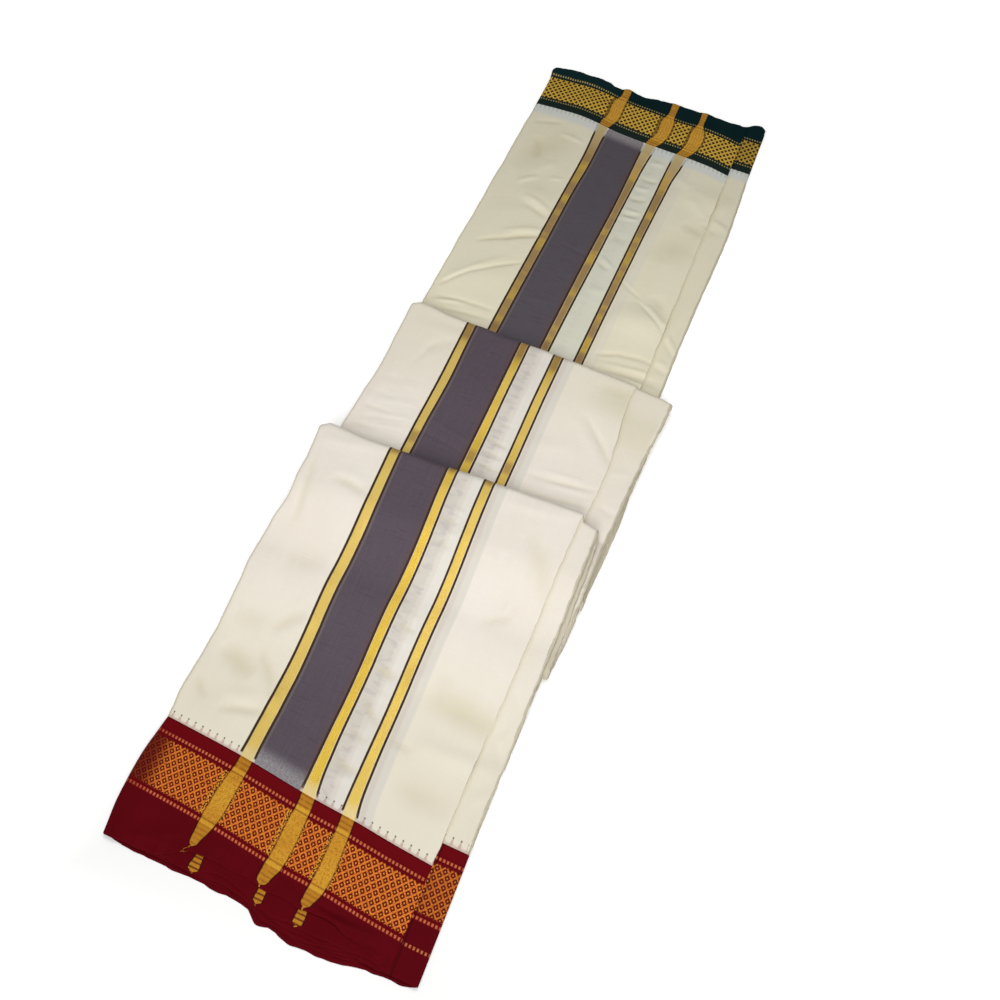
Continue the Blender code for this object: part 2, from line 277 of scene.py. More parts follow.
# %% Edges of each stretch: place, left, right and free edge, slant of the packet and of its top, in mm
EDGES = {
    "far": ((-106, -97, 105, 87.2, 0, 0), (-45, -95.5, 108.3, 87.2, -6, -6),
            (70, -95.4, 103, 87.2, -14, -14), (130, -95, 103.6, 87.7, -14, -14),
            (190, -93.8, 105.7, 88.3, -14, -14), (240, -93, 107.8, 88.7, -14.2, -16.5),
            (323.4, -91.7, 106.2, 89.3, -14.5, -23.5)),
    "return_lower": ((-120, -96, 103, 85, 0, 0), (70, -96, 113, 85, -14, -14)),
    "middle": ((-173, -104, 99.8, 84, 0, 0), (-150, -103, 102.2, 84, 0, 0),
               (-130, -101, 103.6, 84, 0, 0), (-106, -100.5, 103.6, 84, 0, 0),
               (-45, -98.8, 106.4, 86.8, 0, 0), (-20, -97.2, 107.6, 87.8, -3, -3),
               (12, -95.7, 110.2, 86.4, -8, -8), (45, -96.9, 113.3, 84.2, -11.8, -11.8),
               (70, -97.4, 114.5, 85, -14, -14)),
    "return_upper": ((-173, -105, 100, 85.1, 0, 0), (-120, -103, 101, 85.1, 0, 0),
                     (-62, -107.2, 99.8, 85.1, 0, 0)),
    "near": ((-281.2, -110.3, 94.6, 76.8, -7.5, -21), (-260, -112, 94.8, 77.2, -3, -6),
             (-235, -111.2, 95.6, 77.8, 0, 0), (-195, -110, 96.3, 80.3, 0, 0),
             (-155, -109.8, 97.2, 81.8, 0, 0), (-137, -107.6, 97.8, 82.4, 0, 0),
             (-120, -104.2, 98.1, 83, 0, 0), (-105, -105, 98.4, 83.5, 0, 0),
             (-82, -106, 98.5, 84.4, 0, 0), (-62, -108.6, 98.5, 85.1, 0, 0)),
}
EDGE_WAVE = {"far": (0.0004, 0.062), "middle": (0.0003, 0.046), "near": (0.0003, 0.031)}   # size, length, in m


def edges_at(run, y):
    """Left, right and free edge and both slants at places y, with slow waves on the left and the free edge."""
    left, right, free, slant, top_slant = (through(EDGES[run], y, c) for c in range(1, 6))
    size, length = EDGE_WAVE.get(run, (0.0, 1.0))
    return (left + size * waver(y, 1.3, length), right, free + size * waver(y, 4.4, 0.6 * length),
            slant, top_slant)


print("packet width at the maroon seam:", round(float(np.diff(edges_at("near", -0.28)[:2])[0]), 4), "m")

# %% Folds that stray, and seams that curve
NEAR_STRAY, MIDDLE_STRAY = (NEAR_FOLD, 0.0050, 0.0030), (MIDDLE_FOLD, 0.0010, 0.0026)
FOLDS = {   # place of the fold, how far the strip is set back, how far the left corner is pulled out
    "near": NEAR_STRAY, "return_upper": NEAR_STRAY, "middle": MIDDLE_STRAY, "return_lower": MIDDLE_STRAY}


def fold_stray(run, x, y, left, right, free):
    """How far a crosswise fold strays: a slow wave, a pulled left corner, and the strip past the free edge."""
    if run not in FOLDS:
        return 0.0 * (x + y)
    fold, back, pulled = FOLDS[run]
    corner = smooth(x - left, 0.0, 0.005) - smooth(x - left, 0.008, 0.034)
    stray = 0.0005 * waver(x, fold * 90, 0.070) + pulled * corner
    strip = back * smooth(x, free, free + 0.0015) + 0.0016 * (1 - smooth(right - x, 0.0, 0.010))
    return (stray - strip) * smooth(y, fold - 0.034, fold - 0.006)


SEAMS = {
    "near": ((-109.8, -281.2), (-58, -286), (-2.5, -293.3), (25, -296), (50, -299.3), (77, -302.2)),
    "far": ((-90.8, 323.4), (-70, 323.6), (-50.5, 322.8), (-35.5, 320), (-20.5, 316), (14, 310.4),
            (50, 306.6), (69.5, 303.8), (89.3, 299.5)),
}
SEAM_Y = {"near": NEAR_SEAM, "far": FAR_SEAM}


def seam_line(stretch, x, left):
    """How far the seam's curve lies along the cloth at x, measured from its left end."""
    return through(SEAMS[stretch], x) - through(SEAMS[stretch], left)


print("the maroon seam drops by", round(float(-seam_line("near", 0.0768, -0.1100)), 4), "m across the packet")

# %% [markdown]
# ## Stripes as one coordinate
#
# Three gold stripes and a grey band run the length of the cloth. Cloth shifts as it is
# folded, so their places are pinned in a few rows of each stretch, edge by edge. The
# same six edges then get fixed numbers on every piece, and one material can read them.

# %% The stripe coordinate: place along, then both edges of each gold stripe across, in mm
GOLD = ((0.0000, 0.0062), (0.0434, 0.0492), (0.0704, 0.0764))   # in stripe coordinates
STRIPES = {
    "near": ((-281, -57.4, -48.6, -12.6, -3.2, 15.3, 24.4), (-272, -57, -49, -12.6, -5, 15.1, 22.6),
             (-255, -56.6, -48.7, -12.7, -6.4, 14.9, 21.2), (-200, -55, -48.1, -12.1, -6.2, 15.2, 21),
             (-160, -54.8, -47.9, -11.3, -5.3, 16.3, 21.8), (-117, -52.8, -46, -9.4, -3.8, 17, 22.5),
             (-85, -53.8, -47.5, -11.2, -5.6, 15.7, 21.2), (-62, -54.8, -48.6, -11.9, -6.3, 15.2, 20.6)),
    "middle": ((-76, -51.2, -45.8, -7.6, -1.6, 20.2, 25.6), (-24, -50.9, -45.4, -7.4, -1.4, 20.3, 25.6),
               (13, -50, -43.9, -6.8, -1.4, 20.2, 25.6), (46, -50.5, -44.9, -6.9, -1.4, 20.4, 25.8),
               (70, -50.7, -45.3, -7, -1.5, 20.5, 25.9)),
    "far": ((56, -38, -32.4, 5, 10.1, 33.2, 38), (108, -36.9, -31.1, 6.5, 11.6, 34.5, 39.2),
            (175, -34.7, -28.8, 8.8, 14.6, 36.3, 41.4), (248, -32.2, -26.4, 11.9, 17.2, 38.5, 44.2),
            (270, -31.4, -24.9, 12.2, 18.2, 39.2, 45.4), (290, -31.2, -24.4, 12.4, 19, 39.6, 46.4),
            (306, -31.6, -24.2, 12.6, 20.4, 40.2, 48.6), (323, -32.2, -23.2, 12.7, 22.4, 40.8, 50.6)),
    "maroon": ((0, -57.4, -48.6, -12.6, -3.2, 15.3, 24.4), (6, -57.6, -48.6, -12.2, -2.5, 15.9, 24.8),
               (14, -59.2, -49, -12.7, -2.3, 16, 25.2), (40, -61.7, -51, -13.8, -3.2, 15.4, 25.2),
               (44, -61.8, -52, -14.5, -4, 14.9, 24.4), (50, -61.6, -54.2, -14.8, -6.6, 14.6, 21.8),
               (53, -61.5, -55.4, -14.7, -7.6, 15, 20.2), (54.4, -61.4, -55.8, -14, -8.8, 17.4, 17.8),
               (55.4, -61.3, -56, -11.8, -11.2, 17.5, 17.6),
               (56.4, -60.8, -56.8, -11.5, -11.4, 17.5, 17.6),
               (57.6, -58.9, -58.6, -11.5, -11.4, 17.5, 17.6),
               (80, -58.8, -58.7, -11.5, -11.4, 17.5, 17.6)),
    "maroon_tail": ((0, -53.6, -49.6, -10.8, -6.9, 15.6, 19.8),
                    (60, -53.6, -49.6, -10.8, -6.9, 15.6, 19.8),
                    (66, -54.4, -48.9, -11.4, -6.3, 15, 20.6),
                    (70, -55.2, -48.3, -11.7, -6.1, 14.7, 20.9),
                    (71.6, -54.8, -48.6, -11.4, -6.3, 14.7, 20.8),
                    (72.8, -51.9, -51.6, -9, -8.8, 14.9, 20.6),
                    (74, -51.8, -51.7, -8.9, -8.8, 17.7, 17.9),
                    (80, -51.8, -51.7, -8.9, -8.8, 17.7, 17.9)),
    "green": ((0, -32.2, -23.2, 12.7, 22.4, 40.8, 50.6), (5, -31.8, -21, 13.6, 25.6, 43, 54),
              (12, -29.4, -18.8, 17, 28, 45, 56.4), (36, -28.6, -18.4, 18.2, 28.4, 46.6, 56.6),
              (41, -26.4, -18.2, 19.8, 27.4, 48, 54.4), (60, -25.8, -18.2, 20.2, 27.2, 48, 53.6)),
}
MARKS = np.array((-0.10, -0.02, *np.ravel(GOLD), 0.10, 0.20))   # the pinned numbers
FIRST, LAST = (0.10, 0.02), (0.0236, 0.1236)                    # how far the outer marks lie from the gold


def stripe_at(table, x, place):
    """Stripe coordinate of (x, place): each row of pins is moved to its place, then x is read between them."""
    pins = [through(STRIPES[table], place, c) for c in range(1, 7)]
    pins = [*(pins[0] - v for v in FIRST), *pins, *(pins[5] + v for v in LAST)]
    value = np.full(np.broadcast(x, place).shape, MARKS[0])
    for low, high, a, b in zip(pins, pins[1:], MARKS, MARKS[1:]):
        value = np.where(x >= low, a + (b - a) * (x - low) / np.maximum(high - low, 0.00002), value)
    return value


print("stripe coordinate of the first gold's middle:", float(stripe_at("near", -0.0516, -0.2)))

# %% [markdown]
# ## From a grid of points to a piece
#
# Every cloth here is a tube of cloth skin: a section across it, carried along a path. The
# grid of points is worked out at once as arrays, and this function turns it into a
# closed mesh, with the woven coordinates kept on it for the materials. The two open ends
# are long thin loops, often curved, so they are closed like a zip and not by one big face.
# If the tube came out inside out, its volume is negative, and its faces are turned.

# %% Faces of a tube
def zipped(x):
    """Triangles that close a thin loop: from its leftmost point to its rightmost, side by side like a zip."""
    n, first, last = len(x), int(np.argmin(x)), int(np.argmax(x))
    ahead = [(first + k) % n for k in range((last - first) % n + 1)]
    behind = [(first - k) % n for k in range((first - last) % n + 1)]
    i, j, triangles = 0, 0, []
    while i + 1 < len(ahead) or j + 1 < len(behind):
        if j + 1 == len(behind) or (i + 1 < len(ahead) and x[ahead[i + 1]] <= x[behind[j + 1]]):
            triangle, i = (ahead[i], ahead[i + 1], behind[j]), i + 1
        else:
            triangle, j = (ahead[i], behind[j + 1], behind[j]), j + 1
        if len(set(triangle)) == 3:
            triangles.append(triangle)
    return np.array(triangles)


def tube_faces(points):
    """Quads round a grid (rows, around, 3) and triangles on its two ends, all facing outwards."""
    rows, around = points.shape[:2]
    r, k = np.meshgrid(np.arange(rows - 1) * around, np.arange(around), indexing="ij")
    ahead = (k + 1) % around
    quads = np.stack([r + k, r + ahead, r + around + ahead, r + around + k], axis=-1).reshape(-1, 4)
    a, b, c, d = (points.reshape(-1, 3)[quads[:, i]] for i in range(4))
    ends = np.concatenate([zipped(points[0, :, 0])[:, ::-1], zipped(points[-1, :, 0]) + (rows - 1) * around])
    volume = (a * np.cross(b, c)).sum() + (a * np.cross(c, d)).sum()
    return (quads[:, ::-1], ends[:, ::-1]) if volume < 0 else (quads, ends)


print("a loop of four points closes with", len(zipped(np.array((0.0, 1.0, 2.0, 1.1)))), "triangles")

# %% Grid to mesh
def lay_piece(name, tubes, material, node):
    """A piece from closed tubes. Each tube is points (rows, around, 3), weave (rows, around, 2), stripe
    (rows, around) and, where it matters, how much painted shade each point takes: its depth in a crease, or
    how near it lies to a fold's rim or a free edge."""
    faces, flat, start = [], [], 0
    for points, *_ in tubes:
        quads, ends = tube_faces(points)
        faces += (quads + start).tolist() + (ends + start).tolist()
        flat += [False] * len(quads) + [True] * len(ends)
        start += points.shape[0] * points.shape[1]
    mesh = bpy.data.meshes.new(name)
    mesh.from_pydata(np.concatenate([tube[0].reshape(-1, 3) for tube in tubes]), [], faces)
    mesh.polygons.foreach_set("use_smooth", ~np.array(flat))
    corner = np.empty(len(mesh.loops), np.int32)
    mesh.loops.foreach_get("vertex_index", corner)
    weave = np.concatenate([tube[1].reshape(-1, 2) for tube in tubes])
    mesh.uv_layers.new(name="weave").data.foreach_set("uv", weave[corner].ravel())
    stripe = [tube[2].ravel() for tube in tubes]
    hollow = [tube[3].ravel() if len(tube) > 3 else np.zeros(tube[2].size) for tube in tubes]
    for label, values in (("stripe", stripe), ("hollow", hollow)):
        mesh.attributes.new(label, "FLOAT", "POINT").data.foreach_set("value", np.concatenate(values))
    mesh.set_sharp_from_angle(angle=math.radians(55))
    mesh.materials.append(material)
    piece = bpy.data.objects.new(name, mesh)
    bpy.context.scene.collection.objects.link(piece)
    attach(piece, "root")
    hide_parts(node)
    mesh.calc_loop_triangles()
    print(name, "triangles:", len(mesh.loop_triangles))
    return piece

# %% [markdown]
# ## Creases
#
# Pressed cotton keeps soft creases: long ones beside a fold, short ones where it was
# gripped. Each is a line on the cloth with its own width and height, highest in its
# middle and gone at its ends; a negative height is a trough. A slow, uneven swell under
# them keeps the flat parts from looking like card. The depth of each trough is kept too,
# and the dye is darkened and warmed by it: painted shade in the troughs.

# %% Creases: x and y of both ends, width, height, in mm
CREASES = {
    "near": ((18, -197, 86, -214, 8, 1.1), (28, -200, 88, -218, 9, -2), (38, -236, 94, -243, 6.5, 1.2),
             (22, -241, 40, -247, 2.4, -0.6), (83, -188, 95, -209, 3, -0.6),
             (84, -221, 96, -239, 3.5, -0.9), (-82, -98, -55, -106, 3.6, -0.7),
             (-84, -93, -60, -98, 4, 0.4), (-99, -82, -98, -142, 3, -0.5),
             (-104, -88, -103, -136, 3, 0.4), (-78, -209, -57, -190, 4, -0.7),
             (-106, -204, -78, -206, 6, -0.4), (-102, -225, -76, -241, 7, -0.9),
             (-80, -219, -58, -248, 3.4, -0.7), (-86, -264, -55, -259, 3, -0.8),
             (-88, -255, -62, -252, 5, 0.5), (-109, -248, -97, -264, 3, -0.6),
             (-90, -162, -60, -158, 8, -0.4), (-3, -91, 13, -93, 1.6, 0.5),
             (-4, -100, 12, -102, 1.8, -0.5), (-3, -109, 14, -110, 1.6, 0.5),
             (-3, -116, 13, -119, 1.6, -0.5), (-4, -166, 12, -169, 1.6, 0.5),
             (-4, -174, 13, -177, 1.7, -0.6), (-2, -183, 13, -185, 1.6, 0.5),
             (-6, -204, 14, -207, 3, -0.9), (-4, -224, 14, -238, 1.8, -0.9),
             (-2, -218, 14, -222, 2.4, 0.6), (-4, -246, 12, -250, 2, -0.6),
             (-6, -266, 14, -269, 3, -0.9), (-2, -276, 13, -274, 1.6, 0.5),
             (48, -155, 67, -148, 3.4, -0.5), (60, -147, 62, -137, 2, 0.4),
             (60, -86, 80, -134, 7, -0.5), (-110, -71, -58, -73, 4, 0.5), (28, -70, 84, -72, 4, 0.4),
             (-58, -254, -12, -262, 4, -0.5), (-56, -198, -10, -206, 4, -0.5),
             (-48, -128, -12, -121, 6, -0.4), (34, -262, 78, -272, 8, -0.5),
             (84, -262, 93, -252, 3, 0.4), (86, -110, 88, -165, 2.5, -0.3)),
    "middle": ((-95, -3, -74, -4, 2.6, -0.2), (-88, -10, -58, -7, 3, 0.2),
               (-96, -17, -74, -20, 2.4, -0.3), (-88, -24, -54, -21, 2.2, 0.3),
               (-98, -30, -71, -34, 1.7, -0.5), (-78, -36, -52, -32, 1.6, 0.3),
               (-92, -41, -60, -37, 1.8, -0.3), (-80, -45, -54, -42, 1.6, 0.3),
               (-98, -48, -72, -50, 1.5, -0.5), (-75, 11, -63, 42, 2.6, -0.4),
               (-70, 28, -51, 46, 5, -0.5), (-98, -13, -91, -28, 1.3, 1), (1, -9, 17, -11, 1.1, -0.5),
               (1, -25, 18, -28, 1.1, -0.8), (2, -31, 18, -32, 1.1, 0.5), (0, -35, 18, -38, 1.2, -0.7),
               (1, -41, 17, -42, 1.2, 0.6), (0, -46, 18, -49, 1.4, -0.8), (7, 47, 11, 1, 1.2, -0.5),
               (12, 40, 14, 14, 1.4, 0.4), (56, 46, 88, 40, 9, -0.8), (60, 20, 87, -20, 2.6, -0.8),
               (54, 16, 82, -22, 4, 0.4), (42, -34, 78, -37, 1.8, 0.4), (34, -39, 88, -41, 1.6, -0.6),
               (50, -44, 84, -46, 1.8, 0.4), (28, -52, 88, -54, 1.6, -0.7),
               (90, -49, 107, -53, 1.8, -0.8), (90, -22, 103, -17, 2.2, 0.4),
               (-50, -40, -3, -44, 1.6, -0.5), (-50, -29, -6, -33, 1.4, 0.4),
               (-96, 58, -40, 52, 5, -0.4), (24, -18, 60, -12, 6, 0.4), (-104, 16, 116, 8, 26, 1.3)),
    "far": ((-95, 99, -64, 128, 1.3, -1.2), (-74, 119, -36, 145, 1.4, -1),
            (-95, 106, -46, 146, 2.2, 0.4), (-82, 154, -54, 166, 1.9, -0.8),
            (-62, 163, -33, 178, 2.2, -1.3), (-64, 171, -33, 184, 2.5, 0.7),
            (-64, 214, -35, 203, 2.6, 0.9), (-62, 206, -37, 197, 2.2, -0.6),
            (-90, 91, -40, 88, 1.7, -0.9), (-93, 84, -62, 89, 1.6, 0.9), (-90, 79, -38, 78, 1.6, -0.8),
            (-94, 73, -58, 71, 1.4, 0.8), (-75, 227, -58, 239, 2.2, 0.6), (-66, 240, -50, 262, 5, 0.5),
            (-18, 176, 9, 173, 1.6, -0.6), (-24, 112, -2, 118, 2.2, 0.4), (19, 176, 32, 165, 1.3, 0.9),
            (18, 170, 28, 162, 1.2, -0.8), (19, 222, 35, 222, 1.3, 0.8), (19, 231, 35, 230, 1.3, 0.8),
            (19, 226, 34, 226, 1.2, -0.7), (19, 258, 34, 258, 2.2, 0.8), (19, 245, 34, 245, 2.2, -0.8),
            (22, 270, 37, 268, 2.2, -0.8), (23, 291, 36, 290, 2.2, 0.7), (20, 200, 34, 196, 4, -0.5),
            (20, 142, 33, 138, 4, 0.6), (41, 159, 68, 137, 1.2, -0.8), (60, 143, 89, 113, 1.2, -0.9),
            (43, 162, 88, 120, 2, 0.4), (89, 119, 102, 102, 1.3, 1), (90, 112, 102, 98, 1.2, -0.9),
            (72, 152, 84, 127, 5, -0.8), (45, 82, 67, 87, 1.6, -0.8), (61, 87, 87, 87, 1.4, -0.8),
            (83, 88, 104, 81, 1.4, -0.8), (48, 77, 100, 75, 1.7, 0.8), (42, 72, 98, 69, 1.4, -0.8),
            (68, 67, 104, 62, 1.4, 1.2), (86, 60, 105, 55, 1.4, 1.5), (90, 92, 103, 88, 1.7, 0.6),
            (85, 247, 107, 237, 2.2, 0.8), (83, 238, 101, 231, 2.2, -0.6), (68, 233, 93, 225, 6, -0.7),
            (66, 262, 82, 244, 5, 0.6), (-90, 246, -42, 300, 14, -0.6), (46, 198, 90, 208, 13, -0.6),
            (-60, 294, -36, 291, 2.2, 0.7), (-77, 286, -70, 260, 4, -0.6),
            (-88, 302, -62, 306, 2.2, -0.5), (50, 285, 62, 270, 5, 0.5), (-84, 190, -44, 200, 8, 0.4),
            (-50, 240, -38, 244, 1.7, 0.5), (44, 127, 94, 119, 15, 2.2), (-92, 112, -38, 124, 13, 1),
            (-70, 220, -34, 212, 9, 0.9), (56, 272, 106, 256, 12, 1.2)),
    "maroon": ((-56, -340, -16, -342, 2.2, 0.3), (24, -346, 66, -349, 2, 0.5),
               (14, -342, 52, -345, 1.6, -0.4), (-102, -350, -66, -349, 2.4, 0.4),
               (-100, -341, -70, -337, 4, -0.4), (-88, -347, -62, -341, 2, 0.3),
               (60, -338, 74, -354, 2, 0.6), (-40, -318, 20, -325, 8, 0.3),
               (-106, -306, -70, -318, 8, 0.4), (-8, -336, 12, -341, 2, -0.3),
               (30, -333, 58, -338, 4, 0.3), (40, -352, 70, -356, 1.6, -0.4)),
    "green": ((-60, 340, -30, 344, 7, 0.4), (0, 336, 40, 330, 8, 0.4), (40, 350, 80, 346, 4, 0.4),
              (-40, 354, -26, 350, 3, -0.4), (26, 352, 46, 350, 3, -0.4)),
}
DEEPEN = {"near": 1.25, "middle": 1.05, "far": 1.2, "maroon": 1.3, "green": 1.3}   # fresh creases stand higher
SWELL = 0.0003
print("creases by hand:", {k: len(v) for k, v in CREASES.items()})

# %% Relief
def relief(stretch, x, y):
    """Lift at (x, y): for each crease, height * bell(distance/width) * fade at both ends, and a slow swell."""
    lift = (SWELL * waver(x + 0.3 * y, 2.0, 0.110) * waver(y - 0.2 * x, 0.7, 0.085)
            + 0.4 * SWELL * waver(x + y, 3.1, 0.033) * waver(y - 0.6 * x, 5.2, 0.026))
    for ax, ay, bx, by, width, height in np.array(CREASES[stretch]) / 1000.0:
        length = math.hypot(bx - ax, by - ay)
        ux, uy = (bx - ax) / length, (by - ay) / length
        t = ((x - ax) * ux + (y - ay) * uy) / length
        off = (y - ay) * ux - (x - ax) * uy + 0.06 * length * np.sin(2.6 * t + 40 * ax)
        fade = np.clip(1 - (2 * t - 1) ** 2, 0, 1) ** 0.8
        lift = lift + DEEPEN[stretch] * height * fade * np.exp(-((off / width) ** 2))
    return lift


print("lift in the middle of the near stretch:", round(float(relief("near", 0.0, -0.2)) * 1000, 3), "mm")

# %% [markdown]
# ## The cut across a top cloth
#
# Seen end-on, a top cloth starts at its free edge, runs flat over the packet, turns
# round the folded left edge and stops at a lip. It is drawn as a centre line with a
# direction outwards at each point, so that the same line gives both of its faces, and
# the ends close in a half round. Fewer points do for the face that can't be seen.

# %% Section of a top cloth
THICK = 0.0013                                # two pressed layers of cotton
BEND = 0.0022                                 # radius of the fold on the left
LIP = 0.0031                                  # how far the fold reaches down the side


def top_section(columns):
    """Section points as offset, share of width, height, and the half-thickness offsets across and up."""
    f = np.linspace(0, 1, columns)
    full = smooth(f, 0.0, 0.09)                   # the cloth thins out towards its free edge
    over, under = COVER * (0.60 + 0.40 * full), 0.0001 + (COVER - THICK - 0.0001) * full
    half = (over - under) / 2
    centre = [np.stack([0.00105 * f - half * (1 - f), 1 - f, (over + under) / 2, 0 * f + np.pi / 2, half])]
    turn = np.radians(np.arange(100, 181, 10))
    side, height = -COVER + THICK / 2, COVER - THICK / 2
    centre.append(np.stack([side + BEND + BEND * np.cos(turn), 0 * turn,
                            height - BEND + BEND * np.sin(turn), turn, 0 * turn + THICK / 2]))
    centre.append(np.array([(side + 0.00005, 0, -0.0016, np.pi, THICK / 2),
                            (side + 0.00025, 0, -LIP + 0.0007, 1.06 * np.pi, THICK / 2)]).T)
    line = np.concatenate(centre, axis=1)
    below = line[:, np.r_[np.arange(0, columns - 1, 6), np.arange(columns - 1, line.shape[1])]][:, ::-1]

    def offset(part, angle):
        return np.stack([*part[:3], part[4] * np.cos(angle), part[4] * np.sin(angle)])

    lip, free = line[:, [-1] * 4], line[:, [0] * 5]
    loop = [offset(below, below[3] + np.pi), offset(free, np.radians((-75, -45, 0, 45, 75))),
            offset(line, line[3]), offset(lip, lip[3] + np.radians((36, 72, 108, 144)))]
    return np.concatenate(loop, axis=1)


section = top_section(150)
print("points round a top cloth:", section.shape[1])

# %% How far across the cloth a point lies
def cloth_across(x, left, down):
    """x over the packet; past the folded edge it runs on round the fold, and down the side by down."""
    return np.maximum(x, left) + np.minimum(x - left, 0) - np.maximum(0.0, down) * (x < left + 0.002)


print("1 mm down the fold's side, across is", round(float(cloth_across(-0.1012, -0.1, 0.001)), 4))

# %% [markdown]
# ## The path of a top cloth
#
# Seen from the side, each top cloth is one line: flat along the pile, down its slope, or
# round a fold and tucked under it. The line is set out here point by point, about a
# thread's width apart, and its direction gives the way out of the cloth.

# %% Side view of each stretch
def pile(y):
    """Height of the first packet under the ramp: five packets come down to three over a soft S."""
    return PACKET + 2 * PITCH * (1 - smooth(y, RAMP_TOP, RAMP_FOOT))


def near_height(y):
    """Show face of the near stretch: on the pile, down to three packets, then down to the table."""
    return np.where(y > RAMP_FOOT, pile(y) + PITCH + GAP + CORE,
                    CORE + 2 * PITCH * (1 - smooth(y, RAMP_FOOT, TOUCH_DOWN)))


def nose(y, z):
    """A fold round (y, z): half a turn at the shown radius, then back under it for the tuck."""
    turn = np.linspace(np.pi / 2, -np.pi / 2, 17)[1:]
    back = np.linspace(y, y - TUCK, 5)[1:]
    return (np.r_[y + SHOWN * np.cos(turn), back], np.r_[z + SHOWN * np.sin(turn), 0 * back + z - SHOWN])


def side_view(stretch):
    """Points (y, z), directions out, and length so far, along a stretch's show face."""
    step = 0.0016
    if stretch == "near":
        y = np.arange(NEAR_SEAM, NEAR_Y + step / 2, step)
        y[-1] = NEAR_Y
        fold_y, fold_z = nose(NEAR_Y, HIGH)
        y, z = np.r_[y, fold_y], np.r_[near_height(y), fold_z]
    elif stretch == "middle":
        y = np.linspace(NEAR_FOLD - HIDDEN, MIDDLE_Y, 92)
        fold_y, fold_z = nose(MIDDLE_Y, MID)
        y, z = np.r_[y, fold_y], np.r_[0 * y + 2 * PITCH + CORE, fold_z]
    else:
        y = np.linspace(MIDDLE_FOLD - HIDDEN, FAR_SEAM, 168)
        z = 0 * y + CORE
    way = np.gradient(np.stack([y, z]), axis=1)
    way /= np.linalg.norm(way, axis=0)
    length = np.r_[0, np.cumsum(np.hypot(np.diff(y), np.diff(z)))]
    return y, z, -way[1], way[0], length


for stretch in ("near", "middle", "far"):
    print(stretch, "stretch, seam to tuck:", round(float(side_view(stretch)[4][-1]), 4))

# %% [markdown]
# ## The three stretches
#
# The grid of a stretch has the section along one side and the path along the other. Its
# cross lines slant as the packet does, and close to a border they bend into the seam's
# own curve, so the border can start on exactly the same points.

# %% One stretch as a grid
START = {"near": 0.0, "middle": 0.40, "far": WIDTH - (FAR_SEAM - MIDDLE_FOLD + HIDDEN)}
BEND_FROM = {"near": -0.215, "far": 0.270}    # where the cross lines start to bend into the seam
TROUGH = 0.0012                               # a crease this deep takes the full painted shade in the dye


def top_cloth(stretch):
    """Grid of a top cloth: section offsets across, side view along, and creases where it lies flat."""
    y, z, out_y, out_z, length = (a[:, None] for a in side_view(stretch))
    left, right, free, _, top_slant = edges_at(stretch, y)
    offset, share, height, half_x, half_z = section
    x = left + offset + half_x + share * (free - left)
    along = top_slant / (right - left) * (x - left)
    if stretch in SEAM_Y:
        bend = smooth(y, BEND_FROM[stretch], SEAM_Y[stretch])
        along = (1 - bend) * along + bend * seam_line(stretch, x, left)
    along = along + fold_stray(stretch, x, y, left, right, free)
    lift = relief(stretch, x, y + along) * smooth(x, left, left + 0.008) * smooth(out_z, 0.55, 0.95)
    if stretch in SEAM_Y:
        seam = abs(SEAM_Y[stretch])
        lift = lift * (1 - smooth(np.abs(y), seam - 0.004, seam))
    out = height + half_z + lift
    points = np.stack([x, y + along + out_y * out, z + out_z * out], axis=-1)
    across = cloth_across(x, left, -height - half_z)
    weave = np.stack([across, START[stretch] + length + 0 * x], axis=-1)
    # painted shade weight for the dye: crease depth, and a rim where the cloth turns round the left fold
    rim = 1 - smooth(x, left - 0.0014, left + 0.0009)
    return points, weave, stripe_at(stretch, across, y), np.clip(-lift / TROUGH, 0.0, 1.5) + 1.2 * rim


grids = {s: top_cloth(s) for s in ("near", "middle", "far")}
print("near grid:", grids["near"][0].shape)

# %% [markdown]
# ## The borders' top cloth
#
# A border is woven on with its own shuttle, so its seam with the cream is a clean line,
# and it ends in a selvage. The selvage draws in and ripples, and on the green side it
# curls up. Near it the skin thins to almost nothing, which rounds the edge.

# %% The borders' selvages as x, y and curl, and their left edges as depth and how far in, all in mm
SELVAGES = {
    "near": ((-112, -356.2, 0), (-86, -356, 0), (-70, -353.5, 0), (-61, -347, 0.3),
             (-48.9, -346.6, 0.6), (-33.8, -346.6, 0), (-22.4, -347.6, 0), (-13.9, -348.6, 0.3),
             (-7, -349.6, 0), (4, -349.4, 0), (13, -351.2, 0.3), (21.1, -350.6, 0.6),
             (32.5, -350.8, 0.9), (43.3, -352.8, 0.9), (49, -354.8, 0.6), (55.3, -355.8, 0.2),
             (76.8, -361.6, 0)),
    "far": ((-92.6, 367.2, 5), (-89.2, 368.8, 6.2), (-83.7, 369.4, 6.6), (-58.4, 369.4, 6.4),
            (-42, 369, 5), (-33, 368.4, 2.6), (-27, 369, 1), (-20, 370.8, 0.8), (-14, 369, 0.2),
            (10, 368, 0.2), (23.5, 368.4, 0.6), (33, 366.8, 0.2), (51, 366.6, 0.5), (62, 365.2, 0),
            (89.3, 362.6, 0)),
}
BORDER_SIDE = {
    "near": ((0, 0), (10, -1.4), (20, -2.8), (40, -3), (52, -2.2), (62, -0.4), (75, 1.4)),
    "far": ((0, 0), (20, 0.2), (50, 0)),
}
REACH = {"near": 0.068, "far": 0.050}         # depth of a border at its left edge
ROUNDED = 0.0006                              # the last bit of it, where the skin thins
print("the far selvage curls up by", max(row[2] for row in SELVAGES["far"]), "mm")

